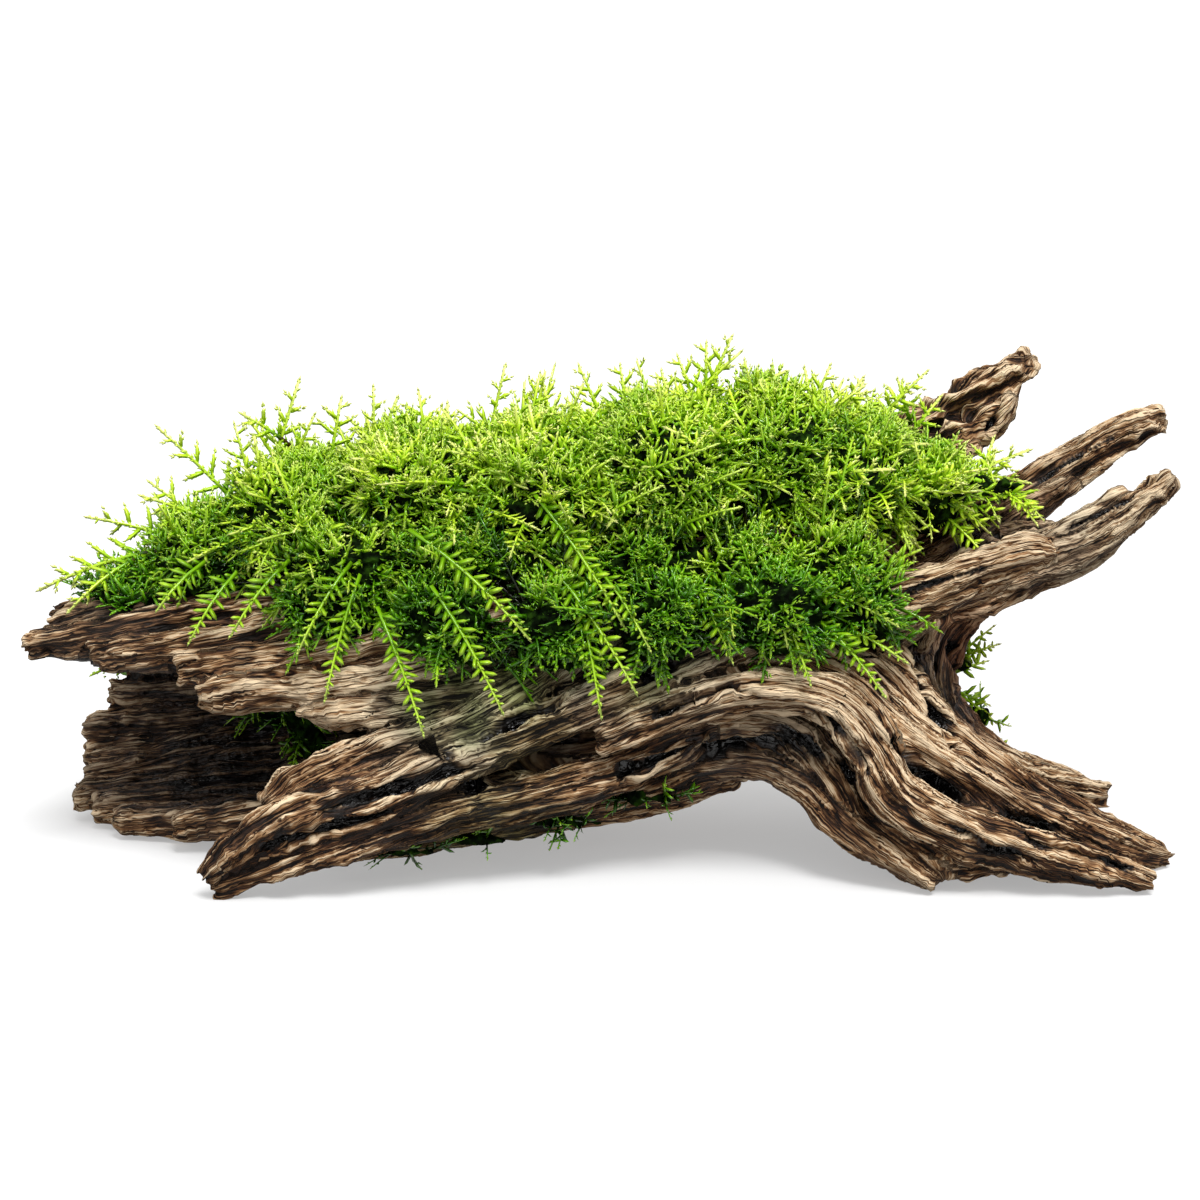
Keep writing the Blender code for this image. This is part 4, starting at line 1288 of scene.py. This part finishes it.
HANGING_SHOOTS = (
    (50, -29, 70, 61, -35, 66, 0.6),
    (48, -33, 69, 69, -39, 62, 0.6),
    (54, -33, 61, 71, -41, 54, 0.5),
    (53, -37, 60, 65, -47, 47, 0.6),
    (24, -37, 67, 30, -45, 55, 0.6),
    (43, -37, 63, 48, -46, 50, 0.6),
    (41, -35, 68, 43, -44, 59, 0.5),
    (-7, -36, 68, 10, -51, 44, 0.6),
    (-3, -42, 60, 0, -51, 44, 0.5),
    (2, -36, 71, 11, -47, 58, 0.6),
    (-35, -42, 65, -23, -53, 45, 0.5),
    (-37, -34, 77, -15, -45, 58, 0.5),
    (-9, -30, 82, 9, -45, 57, 0.4),
    (-49, -42, 60, -41, -53, 40, 0.5),
    (-58, -34, 66, -63, -45, 46, 0.6),
    (-76, -32, 72, -85, -41, 60, 0.6),
    (-61, -34, 71, -69, -45, 57, 0.6),
    (-88, -30, 69, -95, -39, 58, 0.6),
    (-96, -26, 72, -103, -35, 65, 0.6),
    (-48, -22, 81, -34, -32, 68, 0.5),
    (8, -20, 94, 27, -31, 104, 0.1),
    (20, -28, 84, 32, -39, 91, 0.3),
    (20, -24, 90, 33, -35, 99, 0.2),
    (-1, -24, 84, 14, -35, 95, 0.2),
    (-5, -26, 79, -9, -37, 91, 0.2),
    (-31, -28, 75, -28, -39, 87, 0.2),
    (-35, -29, 74, -41, -41, 82, 0.3),
)

COLUMN_SHOOTS = (
    (94, 31, 39, 101, 30, 46, 0.2),
    (94, 30, 38, 102, 27, 42, 0.2),
    (94, 32, 34, 100, 33, 36, 0.2),
    (95, 31, 26, 103, 29, 20, 0.2),
    (95, 32, 27, 101, 34, 24, 0.2),
    (100, 31, 15, 106, 29, 13, 0.2),
    (95, 31, 22, 98, 33, 16, 0.2),
)


def placed_shoots(rows, kind, face, bright):
    """The shoots of the rows, each rooted as far back as there is room behind where its stem comes out."""
    made = []
    for row in rows:
        out, tip, droop = np.array(row[:3]), np.array(row[3:6]), row[6]
        for share in (1.35, 1.2, 1.1):
            run = (tip - out) * share
            length = float(np.linalg.norm(run))
            way = run / length + 0.5 * droop * Z
            way /= np.linalg.norm(way)
            shape = planted_shoot(kind, length, tip - run, way, np.array(face), droop, bright)
            if shape:
                made.append(shape)
                break
        else:
            print("no room for the shoot at", row[:3])
    return made


# %% [markdown]
# The colour of a leaf hangs on its age and on the shoot. Both are stored as a pair of map coordinates: across the
# map runs the tone from old to young, and up the map runs how bright the shoot is. That brightness is partly
# painted light and shade: higher shoots are brighter and shoots where mounds meet are darker.

# %% Moss pieces
def moss_piece(name, shapes, material):
    """One mesh of shapes, each with points, triangles, tones and a brightness."""
    points, triangles = joined([shape[:2] for shape in shapes])
    tones = np.concatenate([shape[2] for shape in shapes])
    bright = np.concatenate([np.full(len(shape[0]), shape[3]) for shape in shapes])
    mesh = mesh_of(name, metres(points), triangles)
    layer = mesh.uv_layers.new(name="OFBake")
    spots = np.column_stack((np.clip(0.1 + 0.8 * tones, 0.02, 0.98), 0.05 + 0.9 * bright))
    layer.data.foreach_set("uv", spots[triangles.ravel()].astype(np.float32).ravel())
    mesh.materials.append(material)
    return mesh_object(name, mesh)


# Near-black green with noise: the dark of old growth, and partly painted shade deep in the cushion.
def make_old_growth_and_shade():
    made = bpy.data.materials.new("old_moss_growth_and_shade")
    made.use_nodes = True
    tree = made.node_tree
    shader = tree.nodes["Principled BSDF"]
    spots = add_node(tree, "ShaderNodeTexCoord")
    patches = add_node(tree, "ShaderNodeTexNoise", Vector=spots.outputs["Object"], Scale=450.0, Detail=3.0)
    colour = ramp_node(tree, patches.outputs["Fac"], ((0.35, "#040702"), (0.5, "#0D1A06"), (0.68, "#26420C")))
    tree.links.new(colour, shader.inputs["Base Color"])
    bump = add_node(tree, "ShaderNodeBump", Strength=1.0, Distance=0.0012, Height=patches.outputs["Fac"])
    tree.links.new(bump.outputs[0], shader.inputs["Normal"])
    shader.inputs["Roughness"].default_value = 1.0
    shader.inputs["Specular IOR Level"].default_value = 0.05
    return made


def make_moss_green():
    made = bpy.data.materials.new("wet_moss")
    made.use_nodes = True
    tree = made.node_tree
    shader = tree.nodes["Principled BSDF"]
    spot = add_node(tree, "ShaderNodeUVMap", {"uv_map": "OFBake"})
    parts = add_node(tree, "ShaderNodeSeparateXYZ", Vector=spot.outputs[0])
    dull_shaded_stops = ((0.02, "#081001"), (0.2, "#173405"), (0.42, "#347206"), (0.7, "#6AAA0A"), (0.97, "#B0DC20"))
    dull_shaded = ramp_node(tree, parts.outputs[0], dull_shaded_stops)
    fresh_lit_stops = ((0.02, "#46300C"), (0.14, "#44740A"), (0.4, "#96D014"), (0.7, "#D8F43C"), (0.97, "#FCFEA0"))
    fresh_lit = ramp_node(tree, parts.outputs[0], fresh_lit_stops)
    # Dull to fresh by the shoot's brightness, which is partly painted light and shade.
    colour = mixed(tree, parts.outputs[1], dull_shaded, fresh_lit)
    tree.links.new(colour, shader.inputs["Base Color"])
    shader.inputs["Roughness"].default_value = 0.18
    shader.inputs["Specular IOR Level"].default_value = 0.45
    return made


moss_green = make_moss_green()
FACES_LIMIT = 185000
TOP, SIDE = ("sprig", "sprig", "plume", "fir"), ("fir", "fir", "plume", "plume", "sprig")
# Name, lumps, inset, shoots, kinds on top and at the sides, depth of the roots, droop, lengths, brightness.
GROWTHS = (
    ("moss_cushion", CUSHION_LUMPS + BRIDGE_LUMPS, 9.5, 3900, TOP, SIDE, 5, (0.3, 1.1), (11, 32), 0.06),
    ("moss_hollow_tuft", HOLLOW_LUMPS, 6, 60, ("wisp", "bushy"), ("wisp",), 2, (0.8, 1.8), (9, 16), 0.4),
    ("moss_belly_fringe", BELLY_LUMPS, 9, 34, ("wisp",), ("wisp",), 0, (0.0, 0.3), (5, 7), 0.1),
    ("moss_back_drape", DRAPE_LUMPS, 6, 90, ("fir", "plume"), ("fir", "sprig"), 3, (0.3, 1.2), (9, 18), 0.4),
    ("moss_column_tuft", COLUMN_LUMPS, 9, 8, ("fir",), ("fir", "wisp"), 1, (0.0, 0.5), (7, 9), 1.0),
)
SHARE = 1.0
old_growth_and_shade = make_old_growth_and_shade()


def add_moss(piece, node):
    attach(piece, "root")
    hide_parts(node)


for name, lumps, inset, count, *growing in GROWTHS:
    core = core_of(name + "_core", lumps, inset)
    planted = plant(name, core, int(count * SHARE), *growing)
    if name == "moss_cushion":
        planted += placed_shoots(TALL_SHOOTS, "sprig", (0, -1, 0.3), 0.85)
        planted += placed_shoots(HANGING_SHOOTS, "fir", (0, -1, 0.5), 0.45)
    if name == "moss_column_tuft":
        planted += placed_shoots(COLUMN_SHOOTS, "fir", (0, -1, 0.5), 1.0)
    core.data.transform(Matrix.Scale(MM, 4) @ Matrix.Translation(-Vector(MIDDLE)))
    core.data.materials.clear()
    core.data.materials.append(old_growth_and_shade)
    add_moss(core, name)
    planted.sort(key=lambda shape: shape[0][0, 0])
    batches = [[]]
    for shape in planted:
        if sum(len(made[1]) for made in batches[-1]) + len(shape[1]) > FACES_LIMIT:
            batches.append([])
        batches[-1].append(shape)
    for number, batch in enumerate(batches):
        add_moss(moss_piece(f"{name}_shoots_{number}", batch, moss_green), name)

# %% [markdown]
# The floor is a plain sheet that shines a little of its own, so that it stays nearly white. A key light with a
# wide, soft edge comes from above and the front, a still wider one stands for the lamps overhead, and a bright
# room fills the shade. A weak, narrow light from low in front makes the wet places glint. That leaves only a
# faint shadow under the wood, as in a product picture on white.

# %% Floor and light
FLOOR_SIZE = 40.0


def make_floor():
    bm = bmesh.new()
    bmesh.ops.create_grid(bm, x_segments=1, y_segments=1, size=FLOOR_SIZE / 2)
    mesh = bpy.data.meshes.new("floor")
    bm.to_mesh(mesh)
    bm.free()
    paint = bpy.data.materials.new("matt_white_board")
    paint.use_nodes = True
    shader = paint.node_tree.nodes["Principled BSDF"]
    shader.inputs["Base Color"].default_value = linear("#B8B8B8")
    shader.inputs["Roughness"].default_value = 0.9
    shader.inputs["Specular IOR Level"].default_value = 0.0
    shader.inputs["Emission Color"].default_value = (1, 1, 1, 1)
    shader.inputs["Emission Strength"].default_value = 0.36
    mesh.materials.append(paint)
    return mesh_object("floor", mesh)


floor = make_floor()
floor.visible_diffuse = False
# Name, strength, width in degrees and direction.
LIGHTS = (
    ("key", 3.1, 26, (-0.15, 0.45, -1)),
    ("overhead", 1.7, 120, (0, 0.1, -1)),
    ("glint", 0.15, 3, (0.3, 1, -0.35)),
)
for name, strength, spread, way in LIGHTS:
    light_data = bpy.data.lights.new(name, "SUN")
    light_data.energy = strength
    light_data.angle = math.radians(spread)
    light = bpy.data.objects.new(name, light_data)
    light.rotation_euler = Vector(way).to_track_quat("-Z", "Y").to_euler()
    bpy.context.scene.collection.objects.link(light)
world = bpy.data.worlds.new("white_room")
bpy.context.scene.world = world
world.use_nodes = True
world.node_tree.nodes["Background"].inputs["Color"].default_value = (1, 1, 1, 1)
world.node_tree.nodes["Background"].inputs["Strength"].default_value = 0.36
bpy.context.scene.view_settings.view_transform = "Standard"
bpy.context.scene.view_settings.look = "None"
